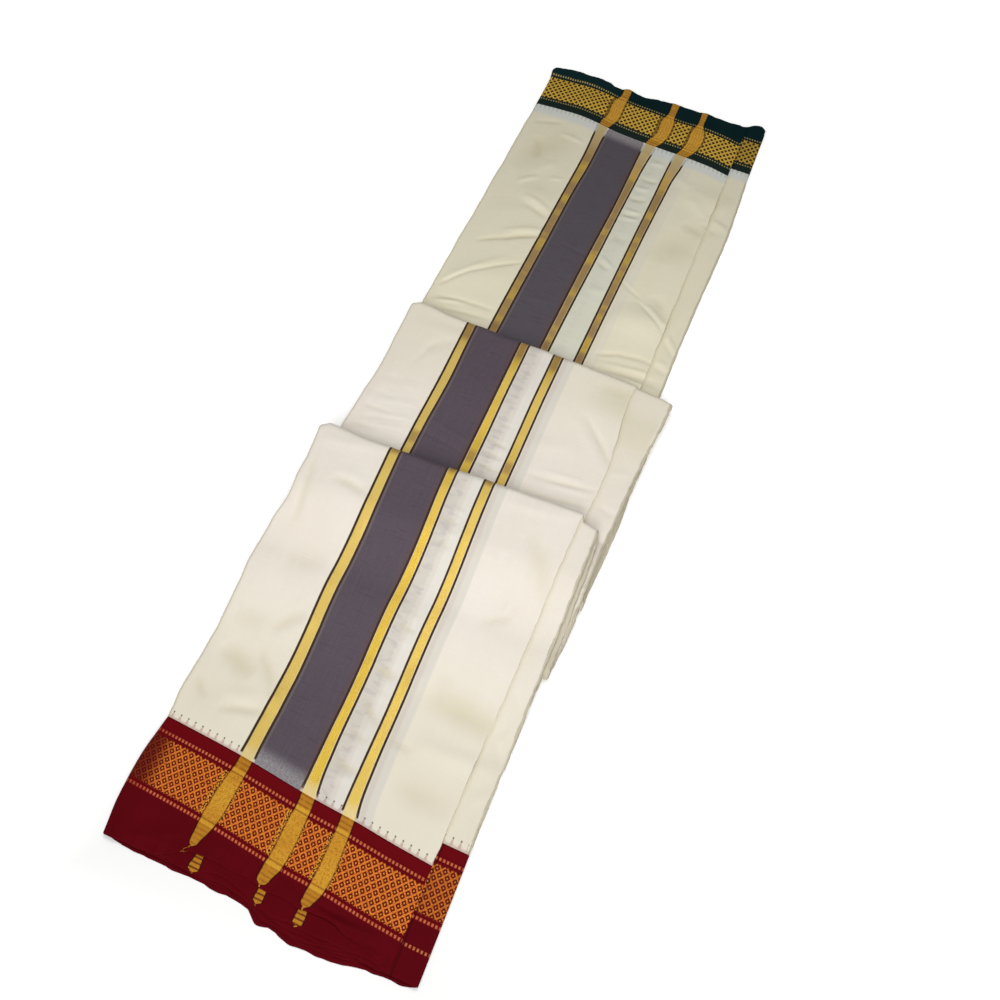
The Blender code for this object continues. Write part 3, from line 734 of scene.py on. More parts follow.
# %% One border as a grid
def border_cloth(stretch, colour, rows):
    """Grid of a border: seam to selvage at each x, with the curl, the ripple and the thinning at its end."""
    start, _, free, _, _ = edges_at(stretch, np.array([[SEAM_Y[stretch]]]))
    offset, part, height, half_x, half_z = section
    share = np.r_[np.linspace(0, 0.86, rows), np.linspace(0.86, 1, 18)[1:]][:, None]
    depth = share * REACH[stretch]
    left = start + through(BORDER_SIDE[stretch], depth)
    thin = np.clip((depth - REACH[stretch] + ROUNDED) / ROUNDED, 0, 1)
    thin = np.sqrt(np.clip(1 - thin**2, 0.01, 1))
    x = left + offset + half_x * thin + part * (free - left)
    seam = SEAM_Y[stretch] + seam_line(stretch, x, start)
    tip = through(SELVAGES[stretch], x) + 0.0004 * np.sin(x / 0.0041) + 0.0004 * waver(x, 5.0, 0.015)
    y = seam + (tip - seam) * share
    curl = through(SELVAGES[stretch], x, 2) * smooth(share, 0.83, 1.0)
    lift = relief(colour, x, y) * smooth(x, left, left + 0.008) * smooth(share, 0.0, 0.15)
    lift = lift + 0.00035 * waver(x, 1.0, 0.013) * smooth(share, 0.78, 1.0)
    body = height + half_z * thin
    settled = np.where(body > 0, body * (1 - 0.50 * smooth(share, 0.40, 0.97)), body)
    points = np.stack([x, y, CORE + settled + lift + curl], axis=-1)
    across = cloth_across(x, left, -height - half_z)
    step = np.hypot(np.diff(y, axis=0), np.diff(curl, axis=0))
    woven = np.concatenate([0 * x[:1], np.cumsum(step, axis=0)])
    return points, np.stack([across, woven], axis=-1), stripe_at(colour, across, woven)


grids["maroon"] = border_cloth("near", "maroon", 44)
grids["green"] = border_cloth("far", "green", 32)
print("maroon border depth:", round(float(grids["maroon"][1][..., 1].max()), 4))

# %% [markdown]
# ## The folded layers
#
# Under the top cloths lie some nineteen layers, folded over and over. They are one
# ribbon here, carried along the whole Z of the packet. Down each side every layer pair
# shows as a small rounded edge that stands back or forward a little, and wanders along
# the packet, because hand-folded layers never line up.

# %% Path of the ribbon
def ribbon_path():
    """(run, inner y, inner z, show y, show z) along the Z, from the green seam to the maroon one."""
    rows = []
    outer = PACKET + INNER
    lower_y, upper_y = LOWER_TURN + outer, UPPER_TURN + outer

    def level(run, places, inner, show):
        rows.extend((run, y, i, y, s) for y, i, s in np.broadcast(places, inner, show))

    def turn(run, y, z, facing, inner, show):
        for a in np.linspace(-np.pi / 2, np.pi / 2, 11)[1:-1]:
            c, s = facing * np.cos(a), np.sin(a)
            rows.append((run, y + c * inner, z + s * inner, y + c * show, z + s * show))

    def spaced(a, b, step=0.0024):
        return np.linspace(a, b, max(2, int(abs(b - a) / step)))

    far_end, middle_end = MIDDLE_FOLD - HIDDEN, NEAR_FOLD - HIDDEN
    level("far", spaced(FAR_SEAM, far_end), 0.0, CORE)
    level("far", spaced(far_end - STEP, lower_y), 0.0, PACKET)
    turn("far", lower_y, LOW, -1, outer, INNER)
    level("return_lower", spaced(lower_y, MIDDLE_Y - TUCK - STEP), PITCH + PACKET, PITCH)
    level("return_lower", (MIDDLE_Y - TUCK, MIDDLE_Y), MID - INNER, MID - SHOWN)
    turn("middle", MIDDLE_Y, MID, 1, INNER, SHOWN)
    level("middle", spaced(MIDDLE_Y, middle_end), 2 * PITCH, 2 * PITCH + CORE)
    level("middle", (middle_end - STEP,), 2 * PITCH, 2 * PITCH + PACKET)
    for y in spaced(RAMP_TOP, RAMP_FOOT):
        base = np.interp(y, (LOWER_TURN - GAP, LOWER_TURN + 0.006), (0.0, 2 * PITCH))
        rows.append(("middle", y, min(base, pile(y) - PACKET), y, float(pile(y))))
    level("middle", (upper_y,), 0.0, PACKET)
    turn("middle", upper_y, LOW, -1, outer, INNER)
    level("return_upper", (upper_y,), PITCH + PACKET, PITCH)
    places = spaced(RAMP_FOOT, RAMP_TOP)
    level("return_upper", places, pile(places) + PITCH, pile(places) + GAP)
    level("return_upper", spaced(RAMP_TOP + 0.002, NEAR_Y - TUCK - STEP), 4 * PITCH - GAP, 3 * PITCH)
    level("return_upper", (NEAR_Y - TUCK, NEAR_Y), HIGH - INNER, HIGH - SHOWN)
    turn("near", NEAR_Y, HIGH, 1, INNER, SHOWN)
    places = spaced(NEAR_Y, RAMP_FOOT)
    level("near", places, pile(places) + PITCH + GAP, pile(places) + PITCH + GAP + CORE)
    places = spaced(RAMP_FOOT - 0.002, NEAR_SEAM)
    drop = np.interp(places, (UPPER_TURN - GAP, UPPER_TURN + 0.006), (0.0, 2 * PITCH))
    show = near_height(places)
    level("near", places, np.minimum(drop, show - CORE), show)
    return np.array([r[0] for r in rows]), np.array([r[1:] for r in rows], float)


runs, ribbon = ribbon_path()
print("rungs along the ribbon:", len(runs))

# %% Layer edges down the ribbon's sides
LAYERS = 8
STAND_BACK = np.array((0.0004, 0.0013, 0.0002, 0.0016, 0.0007, 0.0021, 0.0003, 0.0008))
BULGE = 0.0007                                # how far a layer's rounded edge stands out
CALM = np.where(runs == "far", 0.4, 1.0)[:, None]   # the far stretch is folded more neatly


def layer_edges(length):
    """Up, from 0 to 1, and back from the side, for each point of a row of small arcs, one arc a layer."""
    layer = np.repeat(np.arange(LAYERS), 4)
    arc = np.tile(np.radians((8, 60, 120, 172)), LAYERS)
    up = (layer + (1 - np.cos(arc)) / 2) / LAYERS
    up = up + 0.16 * up * (1 - up) * waver(length, 1.1, 0.020)
    wander = (0.0006 * waver(length + layer * 0.013, 0.9 + layer * 1.7, 0.048)
              + 0.0005 * waver(length - layer * 0.007, 4.1 + layer * 2.9, 0.0145))
    back = STAND_BACK[layer] * (0.7 + 0.4 * CALM * waver(length, layer * 2.3, 0.060)) + CALM * wander
    return up, np.maximum(back, 0) + BULGE * (1 - np.sin(arc))


print("layer edges a side:", LAYERS)

# %% Grid of the ribbon
INSET, LAP = 0.0016, 0.0040                   # in from the sides, and under the top cloth's free edge
FOLDED, EDGE_ON = 0.15, 0.30                  # stripe numbers of its flat faces and of its sides


def ribbon_grid():
    """Both sides are rows of small arcs; the show face is fine where it shows, the inner face is coarse."""
    at_y, at_z, show_y, show_z = (ribbon[:, [c]] for c in range(4))
    length = np.r_[0, np.cumsum(np.hypot(np.diff(ribbon[:, 2]), np.diff(ribbon[:, 3])))][:, None]
    left, right, free, slant = np.zeros((4, len(runs), 1))
    for run in EDGES:
        mine = runs == run
        left[mine], right[mine], free[mine], slant[mine], _ = edges_at(run, show_y[mine])
    up, back = layer_edges(length)
    shown = right - INSET - (right - INSET - free + LAP) * np.linspace(0.0, 1.0, 17)[1:]
    rest = free - LAP + (left + INSET - free + LAP) * np.linspace(0, 1, 7)[1:]
    inner = left + 0.0020 + (right - left - 0.0040) * np.linspace(0, 1, 8)
    x = np.concatenate([right - back, shown, rest, (left + back)[:, ::-1], inner], axis=1)
    share = np.concatenate([up, 1 + 0 * shown, 1 + 0 * rest, up[:, ::-1], 0 * inner], axis=1)
    y = at_y + (show_y - at_y) * share + slant * (x - left) / (right - left)
    z = at_z + (show_z - at_z) * share
    for run in FOLDS:
        mine = runs == run
        y[mine] += fold_stray(run, x[mine], show_y[mine], left[mine], right[mine], free[mine])
    flat = smooth(np.abs(show_z - at_z) - np.abs(show_y - at_y), 0.001, 0.003)
    flat = flat * smooth(x, free - 0.001, free + 0.005) * smooth(right - x, 0.0, 0.004) * (share >= 1.0)
    for stretch in ("near", "middle", "far"):
        z = z + relief(stretch, x, y) * flat * (runs == stretch)[:, None]
    points = np.stack([x, y, np.maximum(z, 0.0)], axis=-1)
    side = share < 1.0
    weave = np.stack([x + 0.006 * share * side, WIDTH * (1 - length / length[-1]) + 0 * x], axis=-1)
    # painted shade weight for the dye: a little on every flat face, most just past the top cloth's free edge,
    # as its shadow
    shade = np.where(side, 0.0, 0.15 + 0.85 * (1 - smooth(x - free, 0.0004, 0.0026)))
    return points, weave, np.where(side, EDGE_ON, FOLDED), shade


grids["layers"] = ribbon_grid()
print("ribbon grid:", grids["layers"][0].shape)

# %% [markdown]
# ## The borders' lower layers
#
# At the selvages the layers end one behind the other. Each is a thin sheet of its own
# with its own selvage line, and its edge ripples up and down. The second layer shows
# most: as a strip beside the top cloth, and as short gold tails past its selvage.

# %% Where each lower layer ends, from the table up, in mm
ENDS = {
    "near": (((-109.8, -355.6), (-100.7, -357.4), (-74, -358.8), (-50.3, -359.3), (-17.3, -361.4),
              (-11.2, -362.3), (-4.6, -367.4), (5.2, -366.8), (12.1, -369), (26.5, -369.6),
              (38.7, -369.8), (52.8, -367.9), (61.4, -365.9), (69.1, -366.6), (75.4, -365.4),
              (85, -365.5), (94.3, -363.8)),
             ((-109.8, -354.7), (-52.5, -357.2), (-14.5, -359.6), (0, -364), (20, -367.2), (34, -367.6),
              (60, -363.8), (91.5, -363.2)),
             ((-109.8, -355), (-52.5, -356.9), (-14.5, -359), (-4, -364), (10, -365.2), (26.5, -366),
              (40, -364.8), (62, -363), (76, -363.6), (91.5, -362.5)),
             ((-109.8, -354.5), (-52.5, -356.5), (-30, -356), (-14.5, -358.5), (0, -361.8),
              (17.7, -363.4), (35, -363.8), (53, -362.6), (70, -363.4), (91.5, -363)),
             ((-109.8, -354.9), (-60, -356), (-51.5, -356.9), (-45, -353.8), (-20, -354.8),
              (-8.8, -359.2), (4, -360.6), (11, -360), (17.7, -361.3), (31.3, -360.7), (50, -361.4),
              (60, -360.3), (76.8, -363.2), (91.5, -363.4))),
    "far": (((-90.8, 368), (0, 367), (106, 362.5)),
            ((-90.8, 367.2), (-40, 367.6), (30, 365), (106, 361)),
            ((-90.8, 368.5), (-20, 366.5), (80, 362.5), (100, 365.5), (106, 362)),
            ((-90.8, 367.8), (-10, 365.5), (70, 363.5), (100, 364), (106, 361.5)),
            ((-90.8, 368), (30, 365), (88.5, 364), (96, 369), (101, 369.8), (106.2, 365))),
}
print("lower layers at a border:", len(ENDS["near"]))

# %% Lower layers at the borders
def border_stack(stretch, table):
    """One tube for each layer: a flat loop across, from the seam to that layer's own selvage."""
    left, right, _, slant, _ = (float(v) for v in edges_at(stretch, SEAM_Y[stretch]))
    pitch = CORE / len(ENDS[stretch])
    half = 0.40 * pitch
    f = np.r_[np.linspace(0, 1, 160), np.linspace(1, 0, 41)]
    over = np.r_[np.ones(160), -np.ones(41)]
    share = np.r_[np.linspace(0, 0.8, 24), np.linspace(0.8, 1.0, 22)[1:]][:, None]
    thin = np.sqrt(np.clip(1 - np.clip((share - 0.985) / 0.015, 0, 1) ** 2, 0.02, 1))
    tubes = []
    for i, line in enumerate(ENDS[stretch]):
        low, high = left + STAND_BACK[(i + 3) % 8] * 0.8, right - STAND_BACK[(i * 3) % 8] * 0.8
        edge = np.clip(np.minimum(f, 1 - f) * (high - low) / half, 0, 1)
        bulge = over * np.sqrt(np.clip(1 - (1 - edge) ** 2, 0.0, 1)) * half
        x = low + (high - low) * f + 0 * share
        seam = SEAM_Y[stretch] + slant * (x - left) / (right - left)
        tip = through(line, x) + 0.0005 * waver(x, 1.0 + 2.2 * i, 0.024) + 0.0003 * np.sin(x / 0.0047 + i)
        y = seam + (tip - seam) * share
        curl = smooth(share, 0.82, 1.0) * (0.00035 * waver(x, 3.0 + i, 0.030) + 0.0001 * i)
        z = (i + 0.5) * pitch + bulge * thin + (curl if i else np.maximum(curl, 0))
        depth = np.abs(y - seam)
        top = i + 1 == len(ENDS[stretch])
        tubes.append((np.stack([x, y, np.maximum(z, 0.0)], axis=-1), np.stack([x, depth], axis=-1),
                      stripe_at(table, x, depth) if top else np.full(y.shape, FOLDED)))
    return tubes


stacks = {"maroon": border_stack("near", "maroon_tail"), "green": border_stack("far", "green")}
print("tubes of the lower layers:", {k: len(v) for k, v in stacks.items()})

# %% [markdown]
# ## Woven materials
#
# A stripe, a border and a weave are all sums on two numbers: how far across the cloth,
# and how far along it. This wiring reads both from the piece, with the stripe coordinate
# and the depth of its creases, and adds a few patterns. All lengths are metres of cloth.

# %% A helper for woven patterns
class Weave(Wiring):
    """Wiring for cloth: across and along come from the weave map, stripe and hollow from the points."""

    def __init__(self, name):
        super().__init__(name)
        split = self.add("ShaderNodeSeparateXYZ", self.add("ShaderNodeUVMap", uv_map="weave").outputs["UV"])
        self.across, self.along = split.outputs["X"], split.outputs["Y"]
        self.stripe, self.hollow = (self.add("ShaderNodeAttribute", attribute_name=label).outputs["Fac"]
                                    for label in ("stripe", "hollow"))

    def noise(self, per_across, per_along, detail=2.0):
        """Soft noise from 0 to 1, with so many features to the metre each way."""
        place = self.add("ShaderNodeCombineXYZ", self.times(self.across, per_across),
                         self.times(self.along, per_along), 0.0)
        grain = self.add("ShaderNodeTexNoise", place.outputs[0])
        grain.inputs["Scale"].default_value = 1.0
        grain.inputs["Detail"].default_value = detail
        return grain.outputs["Fac"]

    def wave(self, value, length):
        """A sine from -1 to 1 of that length."""
        return self.math("SINE", self.scale(value, 2 * math.pi / length))

    def saw(self, value, length):
        """How far value is into its own repeat, from 0 to 1."""
        return self.math("FRACT", self.scale(value, 1 / length))

    def beside_gold(self, left=None, right=None, soft=0.0003):
        """Lines beside each gold stripe: left and right are where each starts and ends from that edge."""
        bands = [self.band(self.stripe, a + left[0], a + left[1], soft) for a, _ in GOLD if left]
        bands += [self.band(self.stripe, b + right[0], b + right[1], soft) for _, b in GOLD if right]
        return self.any_of(*bands)

    def finish(self, colour, roughness, height, strength, gloss, sheen):
        """Plug in what the cloth looks like; a bump of 0.3 mm stands for its threads."""
        self.put(self.shader.inputs["Base Color"], colour)
        self.put(self.shader.inputs["Roughness"], roughness)
        bump = self.add("ShaderNodeBump")
        bump.inputs["Strength"].default_value = strength
        bump.inputs["Distance"].default_value = 0.0003
        self.put(bump.inputs["Height"], height)
        self.put(self.shader.inputs["Normal"], bump.outputs["Normal"])
        self.shader.inputs["Sheen Weight"].default_value = sheen
        self.shader.inputs["Sheen Roughness"].default_value = 0.5
        self.shader.inputs["Specular IOR Level"].default_value = gloss
        print(self.material.name, "nodes:", len(self.tree.nodes))
        return self.material


print("patterns ready:", [name for name in vars(Weave) if not name.startswith("_")])

# %% [markdown]
# ## The stripes' gold, and plain weave
#
# The gold is zari, a cotton thread wound with gilt strip. It is woven in short floats
# laid like bricks, shinier than cotton, and its tone drifts from bright to brown along
# the cloth. Plain weave is one thread over, one thread under, both ways.

# %% Shared parts of the materials
def plain_weave(w, pitch=0.0007):
    """Height of plain weave: the product of two sines, with thicker threads here and there."""
    over = w.times(w.wave(w.across, pitch), w.wave(w.along, pitch))
    slub = w.math("ADD", w.noise(900, 40, 1.0), w.noise(40, 900, 1.0))
    return w.math("ADD", w.scale(over, 0.25), w.scale(slub, 0.8))


def gold_mask(w):
    """1 on the three gold stripes."""
    return w.any_of(*(w.band(w.stripe, a + 0.0002, b - 0.0002) for a, b in GOLD))


def zari(w, bright, deep, brown, tarnish, brick):
    """Gold thread: bricks of two tones, over bands that drift from bright to brown."""
    row = w.math("FLOOR", w.scale(w.stripe, 1 / 0.0009))
    bricks = w.step(w.wave(w.math("ADD", w.along, w.scale(row, brick / 2)), brick), -0.4, 0.7)
    drift = w.math("MULTIPLY_ADD", tarnish, 0.16, w.noise(18, 60, 2.0))
    return w.coats(bright, (bricks, 0.55, deep), (w.step(drift, 0.44, 0.70), tarnish, brown)), bricks


print("gold stripes at", [tuple(round(v * 1000, 1) for v in g) for g in GOLD], "mm")

# %% [markdown]
# ## Striped cream cotton
#
# The body of the cloth is unbleached cotton, faintly uneven in tone. Beside each gold
# stripe runs a thin dark line; between the first two is the grey band, and right of the
# second a whiter panel. Where a border is woven on, the interlocking threads leave a
# row of small dark spires in the cream, the gold pales and the grey turns silver.

# %% Cream
w = Weave("striped_cream_cotton")
to_maroon, to_green = w.along, w.scale(w.along, -1.0, WIDTH)
to_seam = w.math("MINIMUM", to_maroon, to_green)
distant = w.step(w.along, 0.70, 0.96)         # 1 on the far stretch, where the cream is painted darker and yellower as shade
thread = w.noise(900, 45, 2.0)
colour = w.coats(
    w.mix(w.noise(28, 12, 3.0), dye(229, 223, 215), dye(221, 213, 200)),
    (thread, 0.35, dye(210, 200, 182)),
    (w.step(w.noise(45, 900, 2.0), 0.55, 0.8), 0.25, dye(238, 233, 222)),
    # painted shade: darker and yellower from partway along the middle stretch, towards the middle fold and
    # beyond
    (w.step(w.along, 0.440, 0.530), 0.30, dye(219, 213, 184)),
    # painted shade: the far stretch's cream darker and yellower
    (distant, 0.36, dye(219, 215, 178)),
    # painted shade: the cream darker and yellower towards the maroon border
    (w.step(to_maroon, 0.130, 0.030), 0.55, dye(219, 213, 190)),
    # painted shade: an olive patch below the middle fold, on the right
    (w.times(w.band(w.along, 0.5080, 0.5400, 0.0100), w.band(w.stripe, 0.112, 0.160, 0.020)), 0.45,
     dye(203, 196, 166)),
    # painted shade: the sides of the folded layers darker and yellower
    (w.step(w.stripe, 0.22, 0.29), 0.75, dye(176, 168, 144)))
print("nodes for the cream:", len(w.tree.nodes))

# %% Whiter panel, crimped threads, and painted shade beside a fold and in creases
panel = w.coats(
    dye(201, 195, 185),
    (w.step(w.stripe, 0.0575, 0.0600), 1.0, dye(210, 203, 193)),
    (w.step(w.stripe, 0.0613, 0.0635), 1.0, dye(216, 211, 202)),
    (distant, 0.8, dye(207, 208, 190)))
# painted shadow of a fold that lies beside the third gold
beside = w.mix(w.step(w.stripe, 0.0810, 0.0830), dye(202, 194, 183), dye(209, 204, 193))
crimp = w.times(w.band(w.stripe, 0.0512, 0.0600, 0.0012), w.step(w.noise(110, 260, 3.0), 0.48, 0.62))
colour = w.coats(
    colour,
    (w.band(w.stripe, 0.0510, 0.0686, 0.0007), 1.0, panel),
    # painted shadow of a fold beside the third gold
    (w.band(w.stripe, 0.0784, 0.0872, 0.0009), w.scale(distant, -0.55, 0.95), beside),
    (crimp, w.scale(distant, -0.25, 0.36), dye(172, 166, 168)),
    # painted shade: darker, warmer dye in crease troughs, at the left fold's rim and past the free edge
    (w.hollow, 0.42, dye(190, 178, 142)))
print("nodes with the panel:", len(w.tree.nodes))

# %% Grey band and dark lines
DARK_LINES = ((-0.0016, 0.0002), (0.0061, 0.0077), (0.0417, 0.0434), (0.0492, 0.0508), (0.0689, 0.0705),
              (0.0764, 0.0780))
grey = w.band(w.stripe, 0.0074, 0.0420)
flash = w.scale(w.step(w.noise(800, 800, 1.0), 0.3, 0.7), 0.45, 0.55)
band = w.coats(
    dye(74, 63, 73),
    (thread, 0.9, dye(85, 76, 85)),
    (distant, 0.5, dye(80, 78, 83)),
    (w.step(w.noise(60, 700, 1.0), 0.56, 0.75), 0.30, dye(60, 51, 60)),
    (w.step(w.noise(900, 900, 1.0), 0.55, 0.75), 0.20, dye(108, 98, 106)),
    (w.band(w.stripe, 0.0080, 0.0094), 0.4, dye(120, 106, 104)),
    (w.band(w.stripe, 0.0385, 0.0420, 0.0006), 0.25, dye(94, 66, 62)),
    (w.step(to_seam, 0.0135, 0.0035), flash, dye(142, 138, 140)))
lines = w.any_of(*(w.band(w.stripe, start, end, 0.0002) for start, end in DARK_LINES))
colour = w.coats(
    colour,
    (grey, 1.0, band),
    (lines, w.step(to_seam, 0.0010, 0.0026), dye(52, 30, 0)))
print("nodes with the grey band:", len(w.tree.nodes))

# %% Gold stripes: painted shade over the folds, pale at the seams, painted highlights in a few places
GOLD_FOLD_SHADE = (   # along the cloth from and to, how soft, how much painted shade
    (0.2165, 0.2240, 0.0030, 0.75), (0.4270, 0.4370, 0.0030, 0.60), (0.5275, 0.5450, 0.0045, 0.70),
    (0.9450, 0.9530, 0.0030, 0.50))
GOLD_LIT = ((0.450, 0.520, 0.30), (0.492, 0.516, 0.45), (0.176, 0.205, 0.40))   # painted highlights: from, to, how bright
gold = gold_mask(w)
tarnish = w.scale(distant, 0.80, 0.12)
gilt, bricks = zari(w, dye(217, 184, 68), dye(200, 157, 46), dye(156, 126, 86), tarnish, 0.0013)
outer = w.any_of(w.step(w.stripe, 0.012, 0.009), w.scale(w.step(w.stripe, 0.062, 0.066), 0.6))
# painted shade on the gold over and just beside the folds
folds = w.any_of(*(w.scale(w.band(w.along, start, end, soft), shade_share) for start, end, soft, shade_share in GOLD_FOLD_SHADE))
gilt = w.coats(
    gilt,
    (distant, 0.28, dye(190, 158, 104)),
    # painted highlights along the gold
    *((w.band(w.along, start, end, 0.010), bright, dye(248, 214, 106)) for start, end, bright in GOLD_LIT),
    (w.times(outer, w.step(w.along, 0.60, 0.50)), 0.5, dye(218, 192, 118)),
    # painted shade of the folds on the gold
    (folds, 1.0, dye(142, 108, 66)),
    (w.step(to_seam, 0.0105, 0.0030), 1.0, dye(216, 194, 134)),
    # painted highlight on the second and third gold near the green end
    (w.times(w.band(to_green, 0.0290, 0.0460, 0.0060), w.step(w.stripe, 0.020, 0.024)), 0.55,
     dye(228, 186, 98)),
    (w.step(to_green, 0.0420, 0.0120), 0.8, dye(212, 190, 140)))
print("nodes with the gold:", len(w.tree.nodes))

# %% Spires at the seams
def spires(w, distance, spacing, tall):
    """Small temple spires on a seam: a wedge that narrows to a neck, and apart from it the knob on top."""
    side = w.scale(w.math("ABSOLUTE", w.math("SUBTRACT", w.saw(w.across, spacing), 0.5)), spacing)
    room = w.math("SUBTRACT", w.scale(distance, -0.32, 0.32 * tall + 0.0001), side)
    wedge = w.times(w.step(room, -0.0002, 0.0003), w.step(distance, tall, tall - 0.0008))
    rise = w.math("SUBTRACT", distance, tall * 0.95)
    away = w.math("SQRT", w.math("ADD", w.times(side, side), w.times(rise, rise)))
    return wedge, w.step(away, 0.0008, 0.0003)


bare = w.math("SUBTRACT", 1.0, w.any_of(gold, grey))
wedge, knob = spires(w, to_maroon, 0.0053, 0.0044)
halo = w.any_of(w.scale(w.step(to_maroon, 0.0020, 0.0003), 0.45), w.scale(wedge, 0.48))
green_wedge, green_knob = spires(w, to_green, 0.0039, 0.0038)
picket = w.any_of(w.scale(green_wedge, 0.34), w.scale(green_knob, 0.45))
colour = w.coats(
    colour,
    (halo, bare, dye(156, 98, 94)),
    (w.scale(knob, 0.88), bare, dye(76, 66, 58)),
    (w.scale(w.step(to_green, 0.0130, 0.0080), 0.7), bare, dye(200, 205, 205)),
    (picket, bare, dye(112, 130, 128)),
    (gold, 1.0, gilt))
w.put(w.shader.inputs["Metallic"], w.scale(gold, 0.35))
height = w.math("ADD", plain_weave(w), w.times(gold, w.scale(bricks, 0.5)))
cotton = w.finish(colour, w.scale(gold, -0.24, 0.66), height, strength=0.30, gloss=0.25, sheen=0.03)

# %% [markdown]
# ## The borders
#
# From the seam outwards a border has a plain band, a row of small dots, a deep band of
# diamond lattice, a second row of dots, and a plain band out to the selvage. Its extra
# gold thread makes the dots and the lattice. Where the stripes of the cloth cross it,
# gold lies over gold: deep over the plain bands, bright over the lattice.

# %% What the two borders share, and what tells them apart
DIAMOND = (0.0050, 0.0056)                    # one diamond, across and along
TEETH, TOOTH = 0.0025, 0.0016                 # the lattice's edge is toothed: spacing and size
LEFT_SHADE = (-0.0940, -0.1085)                     # across, from where to where the maroon takes painted shade, darker with its pattern dimmed, where the cloth turns down at the left fold
TAIL = 0.0150                                 # past the second dots, the second layer has dots of its own
MAROON = SimpleNamespace(
    ground=dye(94, 3, 15), shade=dye(80, 1, 9), line=dye(190, 90, 34), glint=dye(232, 140, 56),
    hollow=dye(84, 10, 8), seed=dye(220, 152, 56), dot=dye(208, 120, 76), crossing=dye(206, 160, 50),
    deep=dye(172, 112, 32), knots=dye(88, 34, 12), glow=dye(112, 6, 14),
    rows=(0.0088, 0.0110, 0.0402, 0.0428),    # from the seam: dots, lattice start and end, dots
    cells=(0.12, 0.36),                       # how large the seed and the hole of a diamond are
    dots=(0.00245, 0.0017, 0.52),             # spacing, height and share of a dot
    ledge=0.0776,                             # where the top cloth ends and the second layer shows
    left_shade=1.0, tail_dots=True,
    ribs=("along", 0.0024, -0.5, 0.8, 0.22))  # of the gold: which way, spacing, soft from and to, share
GREEN = SimpleNamespace(
    ground=dye(9, 37, 39), shade=dye(7, 29, 31), line=dye(204, 158, 54), glint=dye(242, 202, 92),
    hollow=dye(18, 18, 12), seed=dye(150, 110, 40), dot=dye(186, 166, 112), crossing=dye(222, 160, 54),
    deep=dye(180, 128, 46), knots=dye(58, 34, 14), glow=dye(38, 43, 30),
    rows=(0.0083, 0.0102, 0.0385, 0.0410), cells=(0.0, 0.315), dots=(0.0023, 0.0014, 0.45),
    ledge=0.0900, left_shade=0.0, tail_dots=False, ribs=("stripe", 0.0012, -0.2, 0.7, 0.40))
print("the lattices are", [round((b.rows[2] - b.rows[1]) * 1000, 1) for b in (MAROON, GREEN)], "mm deep")

# %% Lattice
def lattice(w, b, speck, left_shade, under):
    """Colour and holes of the diamonds: two saws slant across each other, and the larger rings each cell."""
    p, q = w.scale(w.across, 1 / DIAMOND[0]), w.scale(w.along, 1 / DIAMOND[1])
    slants = [w.math("ADD", w.math(way, p, q), whole) for way, whole in (("ADD", 40.0), ("SUBTRACT", 60.0))]
    saws = [w.math("ABSOLUTE", w.math("SUBTRACT", w.math("FRACT", slant), 0.5)) for slant in slants]
    cell = w.math("ADD", w.math("MAXIMUM", *saws), w.scale(w.noise(900, 900, 1.0), 0.12, -0.06))
    seed, rim = b.cells
    hole = w.times(w.step(cell, seed - 0.03, seed + 0.03), w.step(cell, rim + 0.03, rim - 0.03))
    return w.coats(
        b.line,
        (speck, 0.9, b.glint),
        (w.step(w.wave(w.along, 0.0009), -0.6, 0.6), 0.18, b.hollow),
        (hole, 0.95, b.hollow),
        (w.step(cell, seed, seed - 0.05), 1.0, w.mix(w.scale(speck, 0.5), b.seed, b.line)),
        # painted shade: the lattice darker at the left fold, and on the second layer beside the top cloth's
        # edge
        (w.any_of(w.scale(left_shade, 0.88), w.scale(under, 0.26)), 1.0, b.shade)), hole


print("one diamond, across and along:", [v * 1000 for v in DIAMOND], "mm")

# %% Gold over gold
def crossing_gold(w, b, gold, rims):
    """Where the cloth's gold crosses a border: ribbed, knotted over the plain bands, bright on the dots."""
    first, _, _, second = b.rows
    gilt, bricks = zari(w, b.crossing, b.deep, b.deep, w.scale(gold, 0.45), 0.0011)
    way, length, low, high, share = b.ribs
    v = w.along
    plain = w.any_of(w.step(v, first - 0.0008, first - 0.0020),
                     w.scale(w.step(v, second + 0.0008, second + 0.0020), 0.85))
    knotted = w.times(w.step(w.wave(v, 0.0029), 0.0, 0.8), w.step(w.noise(300, 200, 0.0), 0.25, 0.45))
    ridge = w.any_of(w.band(v, first - 0.0008, first + 0.0007), w.band(v, second - 0.0007, second + 0.0009))
    gaps = w.times(w.step(v, 0.0600, 0.0612), w.step(w.wave(v, 0.0029), 0.1, 0.7))
    return w.coats(
        gilt,
        (w.step(w.wave(getattr(w, way), length), low, high), share, b.glint),
        (w.step(w.noise(700, 500, 1.0), 0.50, 0.66), 0.55, b.deep),
        (w.step(w.noise(1200, 1000, 0.0), 0.60, 0.70), 0.35, b.knots),
        (plain, 0.8, w.mix(w.scale(knotted, 0.55), b.deep, b.knots)),
        (rims, 0.65, w.mix(0.6, b.deep, b.knots)),
        (ridge, 0.6, b.crossing),
        (gaps, 0.75, b.knots)), bricks


print("stripes of gold that cross a border:", len(GOLD))

# %% Rows of dots
def dotted_rows(w, b, left_shade, under):
    """A row of dots on each side of the lattice, and on the maroon side one more on the second layer."""
    spacing, tall, share = b.dots
    first, _, _, second = b.rows
    rows = [w.band(w.along, at - tall / 2, at + tall / 2) for at in (first, second)]
    if b.tail_dots:
        rows.append(w.times(under, w.band(w.along, second + TAIL - tall / 2, second + TAIL + tall / 2)))
    beads = w.band(w.saw(w.across, spacing), 0.5 - share / 2, 0.5 + share / 2, 0.10)
    # the dots fade under the painted shade at the left fold
    return w.times(w.times(beads, w.any_of(*rows)), w.scale(left_shade, -0.5, 1.0))


print("dots are", [b.dots[0] * 1000 for b in (MAROON, GREEN)], "mm apart")

